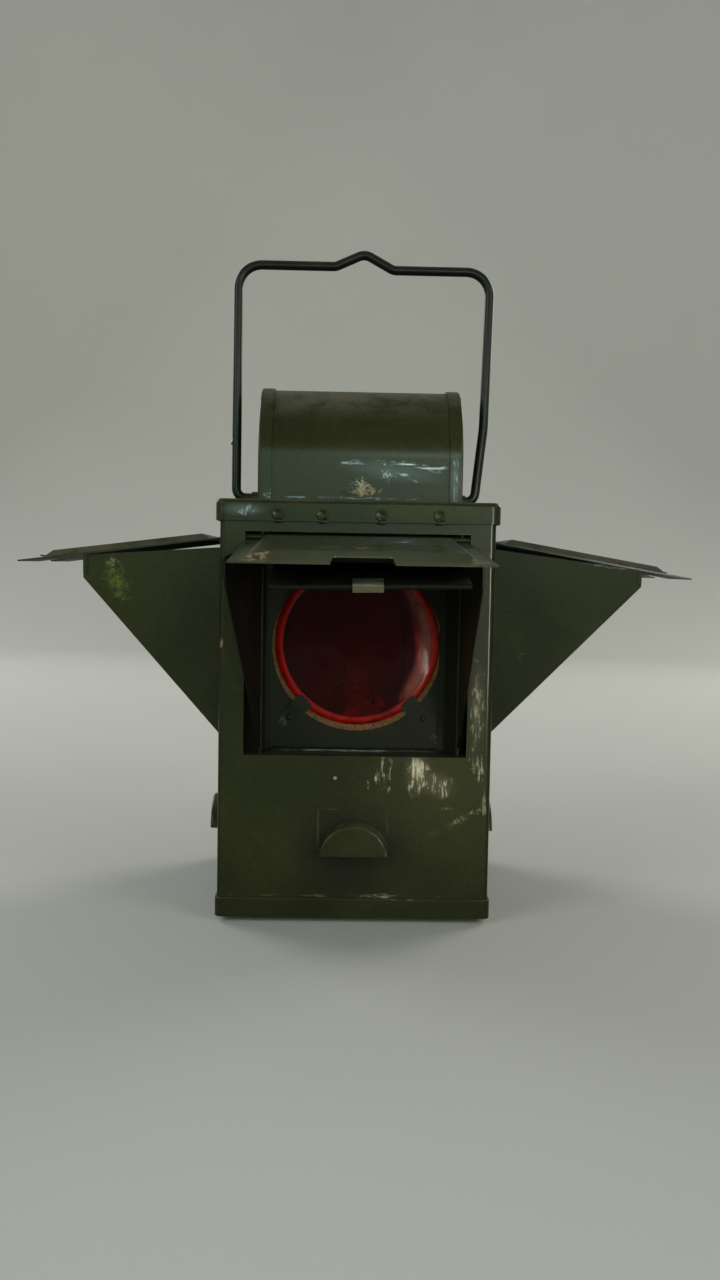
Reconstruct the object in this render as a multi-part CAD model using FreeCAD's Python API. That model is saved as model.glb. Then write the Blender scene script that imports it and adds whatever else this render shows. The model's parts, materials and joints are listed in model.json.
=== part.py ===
import FreeCAD, Part
import os
from collections import namedtuple
from math import atan2, cos, degrees, radians, sin, sqrt, tan

# Signal lamp of painted sheet steel. Millimetres, +Z up, front towards -Y.
# The origin is the centre of the underside of the foot.

# ---- sheet, wire and clearances --------------------------------------------------
sheet = 1.0                # body, lid, decks, plates
thin_sheet = 0.8           # flaps, cheeks, shutter, clips
running_gap = 0.05         # radial gap between a hinge wire and its bore
lap_gap = 0.1              # between pushed-together pans and sheets of one body
free_gap = 0.4             # between pieces that move past each other
over = 1.0                 # how far a cut runs past what it cuts
drill_reach = 4.0          # how far a drilled hole runs to both sides
same = 1e-3                # places closer than this are one place

# ---- lenses ---------------------------------------------------------------------------
lens_r = 46.4
lens_lift = 1.9            # the glass sits this far above the middle of its gasket
lens_set_x = 0.8           # the hole for the lens is this far to the right
lens_thickness = 4.2
lens_edge_r = 3.2
lens_rim = 8.0             # flat ring round the hollow in the back
lens_hollow = 1.6
gasket_lap = 1.6           # the gasket is this much larger than the lens
gasket_thickness = 1.2
plate_lap = 4.6            # the plate's hole is this much smaller than the lens
lens_clip_low_angle = 47.0
lens_clip_high_angle = 62.0
lens_clip_width = 9.6
lens_clip_overlap = 5.4
lens_clip_foot = 12.9
lens_clip_corner_r = 1.5
lens_rivet_r = 1.9
lens_rivet_height = 0.6

# ---- body ---------------------------------------------------------------------------
plate_margin = 2.0         # gasket to the corner of the lens tower
lens_plate_depth = 25.0    # face of the body to the front of the lens plate
body_corner_r = 3.0
foot_height = 3.0
foot_inset = 9.0
band_height = 10.5
band_edge_r = 0.6
sill_rise = 79.2           # top of the band to the sill of the windows
window_inset = 13.8        # side of the body to the side of a window
sill_margin = 11.0         # sill to the gasket
window_head = 15.0         # gasket to the top of the window
head_height = 15.0         # top of the windows to the rim of the shell

# ---- half-moon louvres ----------------------------------------------------------------
louvre_r = 20.0
louvre_depth = 9.5
louvre_draft = 0.9         # how much smaller the face of a louvre is than its root
louvre_cut = 2.2           # its flat edge is this far above the centre of its round
louvre_edge_r = 1.6
louvre_rise = 25.8         # top of the band to the flat edge of a louvre
baffle_overlap = 0.5       # the baffle is wider than the louvre
baffle_height = 27.0
baffle_depth = 6.0

# ---- lid ------------------------------------------------------------------------------
lid_skirt = 11.7
lid_skirt_sheet = 2.2      # the sheet is folded double for the skirt
lid_edge_r = 2.5
flue_ledge = 10.0          # hood to the edge of the hole under it
rivet_head_r = 3.4
rivet_head_height = 1.0
rivet_shank_r = 1.2
lid_rivet_rise = 1.7       # rivet centre above the lower edge of the skirt
lid_rivet_places = (-43.0, -18.5, 11.5, 43.5)

# ---- chimney hood ---------------------------------------------------------------------
hood_length = 116.5
hood_set_x = 1.25          # the hood sits this far to the right
hood_height = 69.5
hood_half_width = 43.0     # outside of the end caps
cap_band = 7.5
hood_flange = 4.0
cap_edge_r = 1.1
vent_r = 18.5
vent_depth = 3.0
vent_gap = 4.0             # between the two vents of an end cap

# ---- handle ---------------------------------------------------------------------------
wire_d = 5.5
ear_wall = 0.9
ear_length = 5.6
ear_foot_width = 15.0
ear_neck_width = 4.4
ear_clear = 0.4            # end cap to ear
handle_left_out = 9.6      # ear to the left leg
handle_foot_out = 5.5      # ear to the foot of the right leg
handle_waist_out = 4.6     # foot to waist of the right leg
handle_top_out = 2.2       # waist to top of the right leg
handle_rise = 138.0        # pivot to the top bar, at the left
handle_slope = 1.6         # how much lower the bar is at the right
handle_waist_rise = 44.0
handle_peak_x = 1.25       # from the middle of the hood
handle_peak_rise = 8.5
handle_peak_half = 17.2
handle_corner_r = 14.0
handle_foot_r = 5.5
handle_waist_r = 56.0
handle_peak_r = 8.0
handle_peak_side_r = 7.0

# ---- window decks and corner channels -----------------------------------------------
upper_deck_rise = 3.5      # above the top of the windows
bay_inset = 6.0            # lens tower to the opening for the burner
ear_plate_out = 1.8        # side of a window to the plates that hold the hinge wires
plate_rim = 1.2            # metal round the wires in those plates
wire_spare = 0.5           # how far a wire shows beyond the last piece it goes through
channel_lip = 3.9
channel_play = 0.2
plate_lip = 8.5

# ---- hood flaps -----------------------------------------------------------------------
hinge_wire_r = 1.0
flap_hinge_depth = 3.2
flap_foot_clear = 5.2      # a closed flap ends this far above the sill
flap_side_play = 0.4
flap_rim = 6.8
flap_front_rim = 12.3
flap_back_rim = 10.5
plateau_height = 3.5
plateau_slope = 5.0
tab_width = 28.0
tab_length = 11.0
tab_bend = 17.0
tab_corner_r = 2.7
tab_slit = 0.6

# ---- cheeks ---------------------------------------------------------------------------
cheek_inset = 6.2          # side of a window to a cheek's wire
cheek_depth_left = 7.5     # the two cheeks of a window fold one behind the other
cheek_depth_right = 10.5
cheek_foot_clear = 2.3
cheek_nose_drop = 26.7     # top of a window to the lower end of the nose
cheek_hem = 2.2

# ---- signal shutter -------------------------------------------------------------------
shutter_wire_r = 1.25
shutter_inset = 14.2       # side of the window to the shutter
shutter_set_x = 4.0        # the shutter sits this far to the right
shutter_depth = 14.5
shutter_head_clear = 7.3   # top of the window to the shutter's wire
shutter_droop = 11.0
shutter_foot_clear = 1.5   # a closed shutter ends this far above the sill
shutter_warp = 1.8         # the right end of its free edge is bent up this far
shutter_roll_r = 1.4
clip_width = 14.4
clip_set_x = -1.0          # from the middle of the shutter
clip_lip = 2.5             # above the shutter
clip_lean = 1.6            # how far the lip leans back
clip_top_leg = 6.0
clip_bottom_leg = 5.0

# ---- oil font, burner and wick -------------------------------------------------------
font_r = 46.0
font_height = 52.0
font_shoulder = 6.0
font_seam = 2.5
font_neck_r = 15.0
font_neck_height = 7.0
font_neck_ledge = 3.0
filler_r = 8.0
filler_height = 5.0
cap_height = 9.0
cap_wall = 1.2
seat_height = 6.0
seat_gap = 0.5
collar_wall = 3.0
collar_height = 9.0
gallery_r = 22.0
gallery_height = 40.0
gallery_foot = 5.0         # height of its sloped foot
gallery_holes = 12
gallery_hole_r = 2.0
gallery_hole_drop = 8.0    # below the rim
dome_height = 22.0
dome_slot_width = 22.0
dome_slot_depth = 9.0
wick_width = 16.0
wick_thickness = 2.4
wick_tube_play = 0.4
wick_tube_flange = 4.0
wick_tube_rise = 68.0      # top of the font to the mouth of the wick tube
wick_stand = 2.0
wick_tail = 32.0
spindle_rise = 22.0        # top of the font to the spindle
spindle_r = 1.2
spindle_end = 2.0
wick_wheel_r = 4.0
wick_wheel_width = 3.0
wick_wheel_gap = 0.3       # wheel to wick
wick_wheel_teeth = 10
wick_tooth_r = 0.7
wick_knob_r = 8.0
wick_knob_width = 5.0
wick_knob_flutes = 20
wick_knob_flute_r = 0.8
wick_knob_out = 11.0       # gallery to the end of the knob

# ---- rear door -------------------------------------------------------------------------
door_opening_inset = 23.0  # side of the body to the opening
door_opening_rise = 8.0    # above the band
door_lap = 4.0
door_gap = 0.4
door_pin_r = 1.25
door_pin_end = 1.0
door_knuckles = 3
door_knuckle_length = 20.0
door_leaf_width = 11.0
door_back_rim = 21.0
button_length = 17.0
button_width = 8.0
button_thickness = 1.2
button_out = 6.5           # beyond the free edge of the door
button_rivet_r = 2.0
button_head_r = 3.6
button_rise = 120.0        # above the band

# ---- levels and faces that follow ------------------------------------------------------
gasket_r = lens_r + gasket_lap
lens_hole_r = lens_r - plate_lap
plate_face = gasket_r + plate_margin
half = plate_face + lens_plate_depth
plate_front = -plate_face
wall_in = half - sheet
shell_bend_r = body_corner_r - sheet
pan_half = half + lap_gap + sheet
lid_half = half + lap_gap + lid_skirt_sheet
window_half = half - window_inset
window_height = sill_margin + 2 * gasket_r + window_head
bay_half_width = plate_face - bay_inset
tower_half = plate_face + channel_play + sheet
ear_plate_x = window_half + ear_plate_out
wire_end = ear_plate_x + sheet + wire_spare

band_bottom = foot_height
band_top = band_bottom + band_height
floor_top = band_bottom + sheet
sill = band_top + sill_rise
window_top = sill + window_height
shell_top = window_top + head_height
lid_under = shell_top + lid_edge_r - sheet
lid_top = lid_under + sheet
deck_low = sill - sheet
deck_high = window_top + upper_deck_rise
lens_z = sill + sill_margin + gasket_r
louvre_z = band_top + louvre_rise

flap_roll_r = hinge_wire_r + running_gap + thin_sheet
flap_reach = window_height - flap_foot_clear
cheek_hinge_x = window_half - cheek_inset
shutter_hinge_roll_r = shutter_wire_r + running_gap + thin_sheet
shutter_hinge_z = window_top - shutter_head_clear
shutter_reach = shutter_hinge_z - sill - shutter_foot_clear
shutter_side = window_half - shutter_inset

hood_base = lid_top
flue_half_length = hood_length / 2 - flue_ledge
flue_half_width = hood_half_width - flue_ledge
vent_offset = vent_r + vent_gap / 2
ear_start = hood_length / 2 + ear_clear
ear_end = ear_start + ear_length
ear_r = wire_d / 2 + running_gap + ear_wall
pivot_z = lid_top + thin_sheet + ear_r

font_top = floor_top + font_height
collar_r = font_neck_r + collar_wall
filler_place = gallery_r + filler_r + cap_wall + 2 * free_gap
spindle_z = font_top + spindle_rise
spindle_y = wick_thickness / 2 + wick_wheel_gap + wick_wheel_r
burner_hole_r = wick_width / 2 + wick_tube_play + wick_tube_flange / 2
collar_top = font_top + lap_gap + collar_height
gallery_top = collar_top + gallery_height

door_opening_half = half - door_opening_inset
door_roll_r = door_pin_r + running_gap + thin_sheet
door_x = door_opening_half + door_lap + door_roll_r + free_gap
door_y = half + door_gap + door_roll_r
door_low = band_top + door_opening_rise - door_lap
door_high = window_top
door_button_y = door_gap + thin_sheet + free_gap

# One entry for each window. turn is about Z, and droop is the slope of the flap. The splays
# are those of the cheeks on the left and on the right hand of someone who faces the window.
# set_x is how far its cheeks are set to the right, reach how far they stand out from the face
# of the body, foot the level run at their lower ends, and drop and head how far the hinge of the
# flap and the tops of the cheeks are below the top of the window.
Window = namedtuple("Window", "turn droop left_splay right_splay set_x reach drop foot head")
windows = {
    "front": Window(0, 6.1, 8.5, 0.7, 2.5, 77.0, 3.0, 0.5, 6.0),
    "right": Window(90, 9.5, 6.9, 3.0, 0.0, 82.8, 1.3, 0.5, 6.0),
    "left": Window(-90, 7.4, 4.0, 1.5, 0.0, 77.0, 1.5, 6.0, 7.8),
}
cheek_names = {
    "front": ("front_left_cheek", "front_right_cheek"),
    "right": ("right_front_cheek", "right_rear_cheek"),
    "left": ("left_rear_cheek", "left_front_cheek"),
}

V = FreeCAD.Vector
ORIGIN = V(0, 0, 0)
X, Y, Z = V(1, 0, 0), V(0, 1, 0), V(0, 0, 1)


# ---- helpers ---------------------------------------------------------------------------
def block(x0, x1, y0, y1, z0, z1):
    """A box between two corners."""
    return Part.makeBox(x1 - x0, y1 - y0, z1 - z0, V(x0, y0, z0))


def upright_edges(solid):
    """The edges of a solid that run along Z."""
    runs = [(e, e.Vertexes[0].Point.sub(e.Vertexes[-1].Point)) for e in solid.Edges]
    return [e for e, run in runs if run.Length > same and run.cross(Z).Length < same]


def rounded_block(half_x, half_y, z0, z1, r):
    """An upright block on the Z axis, with its four upright edges rounded."""
    solid = block(-half_x, half_x, -half_y, half_y, z0, z1)
    return solid.makeFillet(r, upright_edges(solid))


def rod(r, start, end):
    """A round bar between two points."""
    run = end.sub(start)
    return Part.makeCylinder(r, run.Length, start, run)


def tube(outer_r, inner_r, start, end):
    """A round tube between two points."""
    return rod(outer_r, start, end).cut(rod(inner_r, start, end))


def prism(points, run):
    """A flat outline pushed along a vector."""
    wire = Part.makePolygon([V(*p) for p in points] + [V(*points[0])])
    return Part.Face(wire).extrude(run)


def turned(points):
    """A profile of (radius, height) points turned about Z."""
    wire = Part.makePolygon([V(r, 0, z) for r, z in points + points[:1]])
    return Part.Face(wire).revolve(ORIGIN, Z, 360)


def frustum(x0, x1, y0, y1, z0, height, inset):
    """A raised panel: a rectangle whose four sides slope inwards."""
    solid = Part.makeWedge(x0, z0, -y1, -y1 + inset, x0 + inset,
                           x1, z0 + height, -y0, -y0 - inset, x1 - inset)
    solid.rotate(ORIGIN, X, 90)
    return solid


def moved(shape, turn_axis=Z, angle=0.0, to=ORIGIN):
    """A copy turned about an axis through the origin, then shifted."""
    copy = shape.copy()
    copy.rotate(ORIGIN, turn_axis, angle)
    copy.translate(to)
    return copy


def fused(shapes):
    """One clean solid from overlapping ones."""
    return shapes[0].fuse(shapes[1:]).removeSplitter()


def drilled(shape, r, centre, run):
    """A shape with a round hole right through it; run is a unit vector along the hole."""
    reach = run * drill_reach
    return shape.cut(rod(r, centre.sub(reach), centre.add(reach)))


def dome_rivet(head_r, head_height, shank_r, grip):
    """A rivet along -Y: its dome starts at y = 0 and its shank runs to y = grip."""
    ball_r = (head_r ** 2 + head_height ** 2) / (2 * head_height)
    ball = Part.makeSphere(ball_r, V(0, ball_r - head_height, 0))
    head = ball.common(block(-head_r, head_r, -head_height - over, 0, -head_r, head_r))
    return fused([head, rod(shank_r, V(0, -head_height / 2, 0), V(0, grip, 0))])


def wire_path(points, radii):
    """Straight runs joined by tangent arcs; one radius for each inner point."""
    edges = []
    last = points[0]
    for before, corner, after, r in zip(points, points[1:], points[2:], radii):
        way_in = corner.sub(before).normalize()
        way_out = after.sub(corner).normalize()
        half_turn = way_in.getAngle(way_out) / 2
        start = corner.sub(way_in * (r * tan(half_turn)))
        end = corner.add(way_out * (r * tan(half_turn)))
        inward = way_out.sub(way_in).normalize()
        middle = corner.add(inward * (r / cos(half_turn) - r))
        edges.append(Part.LineSegment(last, start).toShape())
        edges.append(Part.Arc(start, middle, end).toShape())
        last = end
    edges.append(Part.LineSegment(last, points[-1]).toShape())
    return Part.Wire(edges)


def bent_wire(points, radii, r):
    """A round wire that follows such a path."""
    ring = Part.Wire([Part.makeCircle(r, points[0], points[1].sub(points[0]))])
    return wire_path(points, radii).makePipeShell([ring], True, False)


# ---- half-moon louvre -------------------------------------------------------------------
def half_moon(root_r, depth):
    """The hood of a louvre and the space under it, in a wall whose outer face is y = 0.

    It stands out towards -Y, has a flat face and is open along its flat lower edge at z = 0.
    """
    centre = V(0, 0, -louvre_cut)
    above = block(-root_r, root_r, -depth, 0, 0, root_r)
    hood = Part.makeCone(root_r, root_r - louvre_draft, depth, centre, -Y).common(above)
    rim = [e for e in hood.Edges if e.BoundBox.YMax < same - depth and e.BoundBox.ZMax > over]
    hood = hood.makeFillet(louvre_edge_r, rim)
    r = root_r - sheet
    room = Part.makeCone(r, r - louvre_draft, depth, centre + Y * sheet, -Y)
    room = room.fuse(rod(r, centre + Y * sheet, centre + Y * (sheet + over)))
    return hood, room.common(block(-r, r, -depth, sheet + over, 0, r))


def press_half_moon(wall, root_r, depth, turn, to):
    """A wall with a louvre pressed out of it."""
    hood, room = half_moon(root_r, depth)
    return wall.fuse(moved(hood, Z, turn, to)).cut(moved(room, Z, turn, to))


def around(turn, x, y, z):
    """A point given for the front window, taken round to another window."""
    return FreeCAD.Rotation(Z, turn).multVec(V(x, y, z))


# ---- base, shell and lid ----------------------------------------------------------------
def make_foot():
    outer = rounded_block(half - foot_inset, half - foot_inset, 0, foot_height, body_corner_r)
    inner = rounded_block(half - foot_inset - sheet, half - foot_inset - sheet,
                          sheet, foot_height + over, body_corner_r)
    return outer.cut(inner)


def make_base_pan():
    pan = rounded_block(pan_half, pan_half, band_bottom, band_top, body_corner_r + sheet)
    hollow = rounded_block(half + lap_gap, half + lap_gap, floor_top, band_top + over, body_corner_r)
    rim = [e for e in pan.Edges if abs(e.BoundBox.ZMin - band_top) < same]
    return pan.makeFillet(band_edge_r, rim).cut(hollow)


def make_body_shell():
    shell = rounded_block(half, half, floor_top, shell_top, body_corner_r)
    shell = shell.cut(rounded_block(wall_in, wall_in, 0, shell_top + over, shell_bend_r))
    opening = block(-window_half, window_half, -half - over, -wall_in + over, sill, window_top)
    for window in windows.values():
        shell = shell.cut(moved(opening, Z, window.turn))
        place = around(window.turn, 0, -half, louvre_z)
        shell = press_half_moon(shell, louvre_r, louvre_depth, window.turn, place)
    door_way = block(-door_opening_half, door_opening_half, wall_in - over, half + over,
                     door_low + door_lap, door_high - door_lap)
    return drill_lid_rivets(drilled(shell.cut(door_way), button_rivet_r, button_pivot(), Y))


def make_baffles():
    """Channels behind the louvres: air goes up through them and no light comes out."""
    x = louvre_r + baffle_overlap
    back = -wall_in + baffle_depth
    z0 = louvre_z - sheet
    channel = block(-x, x, -wall_in, back, z0, z0 + baffle_height)
    space = block(-x + thin_sheet, x - thin_sheet, -wall_in - over, back - thin_sheet,
                  z0 + thin_sheet, z0 + baffle_height + over)
    return [moved(channel.cut(space), Z, window.turn) for window in windows.values()]


def make_lid():
    top = rounded_block(lid_half, lid_half, lid_top - lid_skirt, lid_top,
                        body_corner_r + lid_skirt_sheet)
    rim = [e for e in top.Edges if abs(e.BoundBox.ZMin - lid_top) < same]
    inside = rounded_block(half + lap_gap, half + lap_gap, lid_top - lid_skirt - over, lid_under,
                           body_corner_r)
    crown = [e for e in inside.Edges if abs(e.BoundBox.ZMin - lid_under) < same]
    lid = top.makeFillet(lid_edge_r, rim).cut(inside.makeFillet(lid_edge_r - sheet, crown))
    flue = block(-flue_half_length, flue_half_length, -flue_half_width, flue_half_width,
                 lid_under - over, lid_top + over)
    return drill_lid_rivets(lid.cut(over_hood(flue)))


def lid_rivet_points():
    z = lid_top - lid_skirt + lid_rivet_rise
    return [(turn, around(turn, x, -lid_half, z)) for turn in (0, 180) for x in lid_rivet_places]


def drill_lid_rivets(sheet_part):
    for turn, place in lid_rivet_points():
        sheet_part = drilled(sheet_part, rivet_shank_r, place, Y)
    return sheet_part


def make_lid_rivets():
    grip = lid_skirt_sheet + lap_gap + sheet
    rivet = dome_rivet(rivet_head_r, rivet_head_height, rivet_shank_r, grip)
    return [moved(rivet, Z, turn, place) for turn, place in lid_rivet_points()]


# ---- chimney hood -----------------------------------------------------------------------
def over_hood(shape):
    """Moves a piece from the middle of the lamp to the middle of the hood."""
    return moved(shape, to=X * hood_set_x)


def arch(half_width, height, x0, x1):
    """A solid half-round hood that stands on the lid between two places along X."""
    spring = hood_base + height - half_width
    crown = V(x0, 0, hood_base + height)
    left, right = V(x0, -half_width, spring), V(x0, half_width, spring)
    foot_left, foot_right = V(x0, -half_width, hood_base), V(x0, half_width, hood_base)
    edges = [Part.LineSegment(foot_left, left).toShape(),
             Part.Arc(left, crown, right).toShape(),
             Part.LineSegment(right, foot_right).toShape(),
             Part.LineSegment(foot_right, foot_left).toShape()]
    return Part.Face(Part.Wire(edges)).extrude(V(x1 - x0, 0, 0))


def make_hood():
    end = hood_length / 2 - sheet
    width = hood_half_width - sheet - lap_gap
    height = hood_height - sheet - lap_gap
    skin = arch(width, height, -end, end)
    skin = skin.cut(arch(width - sheet, height - sheet, -end - over, end + over))
    flange_end = hood_length / 2 - cap_band - lap_gap
    flanges = [block(-flange_end, flange_end, y0, y1, hood_base, hood_base + sheet)
               for y0, y1 in ((-width - hood_flange, -width + sheet / 2),
                              (width - sheet / 2, width + hood_flange))]
    return over_hood(fused([skin] + flanges))


def make_end_cap(side):
    """side is -1 for the left cap and 1 for the right one. Its vents are pressed inwards."""
    end = hood_length / 2
    cap = arch(hood_half_width, hood_height, end - cap_band, end)
    rim = [e for e in cap.Edges if e.BoundBox.XMin > end - same and e.BoundBox.ZMax > hood_base + over]
    cap = cap.makeFillet(cap_edge_r, rim)
    cap = cap.cut(arch(hood_half_width - sheet, hood_height - sheet, end - cap_band - over, end - sheet))
    vent_z = hood_base + (hood_height - hood_half_width)
    for y in (-vent_offset, vent_offset):
        cap = press_half_moon(cap, vent_r, vent_depth, -90, V(end - sheet, y, vent_z))
    if side < 0:
        cap.rotate(ORIGIN, Z, 180)
    return over_hood(cap)


# ---- handle -----------------------------------------------------------------------------
def make_handle():
    start = ear_start + free_gap
    left = -ear_end - handle_left_out
    foot = ear_end + handle_foot_out
    waist = foot + handle_waist_out
    right = waist + handle_top_out
    top_left = pivot_z + handle_rise
    top_right = top_left - handle_slope
    peak = (top_left + top_right) / 2 + handle_peak_rise
    points = [V(-start, 0, pivot_z),
              V(left, 0, pivot_z),
              V(left, 0, top_left),
              V(handle_peak_x - handle_peak_half, 0, top_left),
              V(handle_peak_x, 0, peak),
              V(handle_peak_x + handle_peak_half, 0, top_right),
              V(right, 0, top_right),
              V(waist, 0, pivot_z + handle_waist_rise),
              V(foot, 0, pivot_z),
              V(start, 0, pivot_z)]
    radii = [handle_foot_r, handle_corner_r, handle_peak_side_r, handle_peak_r,
             handle_peak_side_r, handle_corner_r, handle_waist_r, handle_foot_r]
    return over_hood(bent_wire(points, radii, wire_d / 2))


def make_handle_ear(side):
    """A rolled tube on a strap, soldered to the lid beside the chimney hood."""
    x0, x1 = ear_start, ear_end
    strap = block(x0, x1, -ear_foot_width / 2, ear_foot_width / 2, lid_top, lid_top + thin_sheet)
    neck = block(x0, x1, -ear_neck_width / 2, ear_neck_width / 2, lid_top, pivot_z)
    roll = rod(ear_r, V(x0, 0, pivot_z), V(x1, 0, pivot_z))
    bore = rod(wire_d / 2 + running_gap, V(x0 - over, 0, pivot_z), V(x1 + over, 0, pivot_z))
    ear = fused([roll, neck, strap]).cut(bore)
    if side < 0:
        ear.rotate(ORIGIN, Z, 180)
    return over_hood(ear)


# ---- decks and corner channels ------------------------------------------------------------
def flap_axis(window):
    """Y and Z of the hinge wire of a flap, as if its window were at the front."""
    return -half + flap_hinge_depth, window_top - window.drop


def shutter_axis():
    return -half + shutter_depth, shutter_hinge_z


def cheek_axis(right_hand, set_x):
    """X and Y of the wire of one cheek, for the front window."""
    if right_hand:
        return set_x + cheek_hinge_x, -half + cheek_depth_right
    return set_x - cheek_hinge_x, -half + cheek_depth_left


def cheek_wire_places():
    return [around(window.turn, *cheek_axis(right_hand, window.set_x), 0)
            for window in windows.values() for right_hand in (False, True)]


def deck_blank(z0):
    reach = wall_in - lap_gap
    return rounded_block(reach, reach, z0, z0 + sheet, shell_bend_r)


def drill_cheek_holes(deck):
    for place in cheek_wire_places():
        low, high = place + Z * (deck.BoundBox.ZMin - over), place + Z * (deck.BoundBox.ZMax + over)
        deck = deck.cut(rod(hinge_wire_r + running_gap, low, high))
    return deck


def make_lower_deck():
    """Floor of the window recesses, open to the rear so that the lamp slides in."""
    bay = block(-bay_half_width, bay_half_width, -bay_half_width, half, deck_low - over, sill + over)
    return drill_cheek_holes(deck_blank(deck_low).cut(bay))


def make_upper_deck():
    """Roof of the window recesses, with the plates that hold the hinge wires."""
    deck = deck_blank(deck_high)
    deck = deck.cut(block(-bay_half_width, bay_half_width, -bay_half_width, bay_half_width,
                          deck_high - over, deck_high + sheet + over))
    deck = drill_cheek_holes(deck)
    plates = [moved(hinge_plate(window, side), Z, window.turn)
              for window in windows.values() for side in (-1, 1)]
    return fused([deck] + plates)


def hinge_plate(window, side):
    """Hangs from the upper deck beside a window; the front ones also hold the shutter's wire."""
    wires = [(flap_axis(window), hinge_wire_r)]
    if window.turn == 0:
        wires.append((shutter_axis(), shutter_wire_r))
    back = max(y + r + plate_rim for (y, z), r in wires)
    low = min(z - r - plate_rim for (y, z), r in wires)
    x0, x1 = sorted((side * ear_plate_x, side * (ear_plate_x + sheet)))
    plate = block(x0, x1, -wall_in + lap_gap, back, low, deck_high + sheet / 2)
    for (y, z), r in wires:
        plate = plate.cut(rod(r + running_gap, V(x0 - over, y, z), V(x1 + over, y, z)))
    return plate


def make_cheek_wires():
    low, high = deck_low - wire_spare, deck_high + sheet + wire_spare
    return [rod(hinge_wire_r, place + Z * low, place + Z * high) for place in cheek_wire_places()]


def make_corner_channels():
    """Four folded channels that hold the upright edges of the lens plates.

    From each one a web runs out to the corner of the shell and closes the window recesses.
    """
    edge = plate_face - sheet - channel_play  # inner side of the slot
    inside = edge - sheet
    lip = tower_half - channel_lip
    outer = block(lip, tower_half, -tower_half, -plate_face - channel_play, sill, deck_high)
    inner = block(lip, edge, -edge, -inside, sill, deck_high)
    other_outer = block(plate_face + channel_play, tower_half, -tower_half, -lip, sill, deck_high)
    other_inner = block(inside, edge, -edge, -lip, sill, deck_high)
    corner = block(edge - sheet / 2, tower_half, -tower_half, -edge + sheet / 2, sill, deck_high)
    web_start = (tower_half - sheet) * sqrt(2)
    web_end = (wall_in - shell_bend_r) * sqrt(2) + shell_bend_r - lap_gap
    web_top = shutter_hinge_z - shutter_wire_r - plate_rim - free_gap
    web = block(web_start, web_end, -thin_sheet / 2, thin_sheet / 2, sill, web_top)
    channel = fused([outer, other_outer, inner, other_inner, corner, moved(web, Z, -45)])
    return [moved(channel, Z, 90 * k) for k in range(4)]


def plate_half_width():
    return plate_face - sheet - channel_play - sheet / 2 - channel_play


# ---- lenses, for the front window -----------------------------------------------------------
def lens_centre(y):
    return V(lens_set_x, y, lens_z)


def make_lens_plate():
    x = plate_half_width()
    plate = block(-x, x, plate_front, plate_front + sheet, sill, deck_high - lap_gap)
    hole = rod(lens_hole_r, lens_centre(plate_front - over), lens_centre(plate_front + sheet + over))
    lip_x = tower_half - channel_lip - free_gap
    lip = block(-lip_x, lip_x, plate_front - plate_lip, plate_front + sheet, sill, sill + sheet)
    plate = fused([plate.cut(hole), lip])
    for place in lens_rivet_points():
        plate = drilled(plate, rivet_shank_r, place, Y)
    return plate


def facing(solid, y):
    """Turns a piece made along +Z so that it faces the front, with its back at y."""
    return moved(solid, X, 90, lens_centre(y))


def make_gasket():
    """A soft ring, trimmed where it would run under the lips of the corner channels."""
    ring = tube(gasket_r, lens_hole_r + free_gap, ORIGIN, Z * gasket_thickness)
    x = tower_half - channel_lip - lap_gap
    room = block(-x, x, plate_front - gasket_thickness, plate_front, sill, deck_high)
    return facing(ring, plate_front).common(room)


def make_lens():
    glass = Part.makeCylinder(lens_r, lens_thickness)
    front_edge = [e for e in glass.Edges if abs(e.BoundBox.ZMin - lens_thickness) < same]
    glass = glass.makeFillet(lens_edge_r, front_edge)
    glass = glass.cut(Part.makeCylinder(lens_r - lens_rim, lens_hollow))
    return moved(facing(glass, plate_front - gasket_thickness), to=Z * lens_lift)


def clip_angles():
    """Directions from the centre of the lens to its clips."""
    low, high = lens_clip_low_angle, lens_clip_high_angle
    return [high, 180 - high, 180 + low, -low]


def clip_shoulder():
    return gasket_r + free_gap


def make_lens_clips():
    """Bent strips: a foot riveted to the plate and a finger over the rim of the glass."""
    under = gasket_thickness + lens_thickness + lap_gap
    above = under + sheet
    inner_r = lens_r - lens_clip_overlap
    step = clip_shoulder()
    outer_r = step + sheet + lens_clip_foot
    side = lens_clip_width / 2
    outline = [(inner_r, -side, under), (inner_r, -side, above), (step + sheet, -side, above),
               (step + sheet, -side, sheet), (outer_r, -side, sheet), (outer_r, -side, 0),
               (step, -side, 0), (step, -side, under)]
    clip = prism(outline, V(0, lens_clip_width, 0))
    ends = [e for e in upright_edges(clip)
            if min(abs(e.BoundBox.XMin - inner_r), abs(e.BoundBox.XMin - outer_r)) < same]
    clip = clip.makeFillet(lens_clip_corner_r, ends)
    clip = drilled(clip, rivet_shank_r, V(lens_rivet_reach(), 0, 0), Z)
    return [facing(moved(clip, Z, a), plate_front) for a in clip_angles()]


def lens_rivet_reach():
    """Distance of a clip's rivet from the centre of the lens."""
    return clip_shoulder() + sheet + lens_clip_foot / 2


def lens_rivet_points():
    r = lens_rivet_reach()
    return [lens_centre(plate_front - sheet) + V(r * cos(radians(a)), 0, r * sin(radians(a)))
            for a in clip_angles()]


def make_lens_rivets():
    rivet = dome_rivet(lens_rivet_r, lens_rivet_height, rivet_shank_r, 2 * sheet)
    return [moved(rivet, to=place) for place in lens_rivet_points()]


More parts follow.
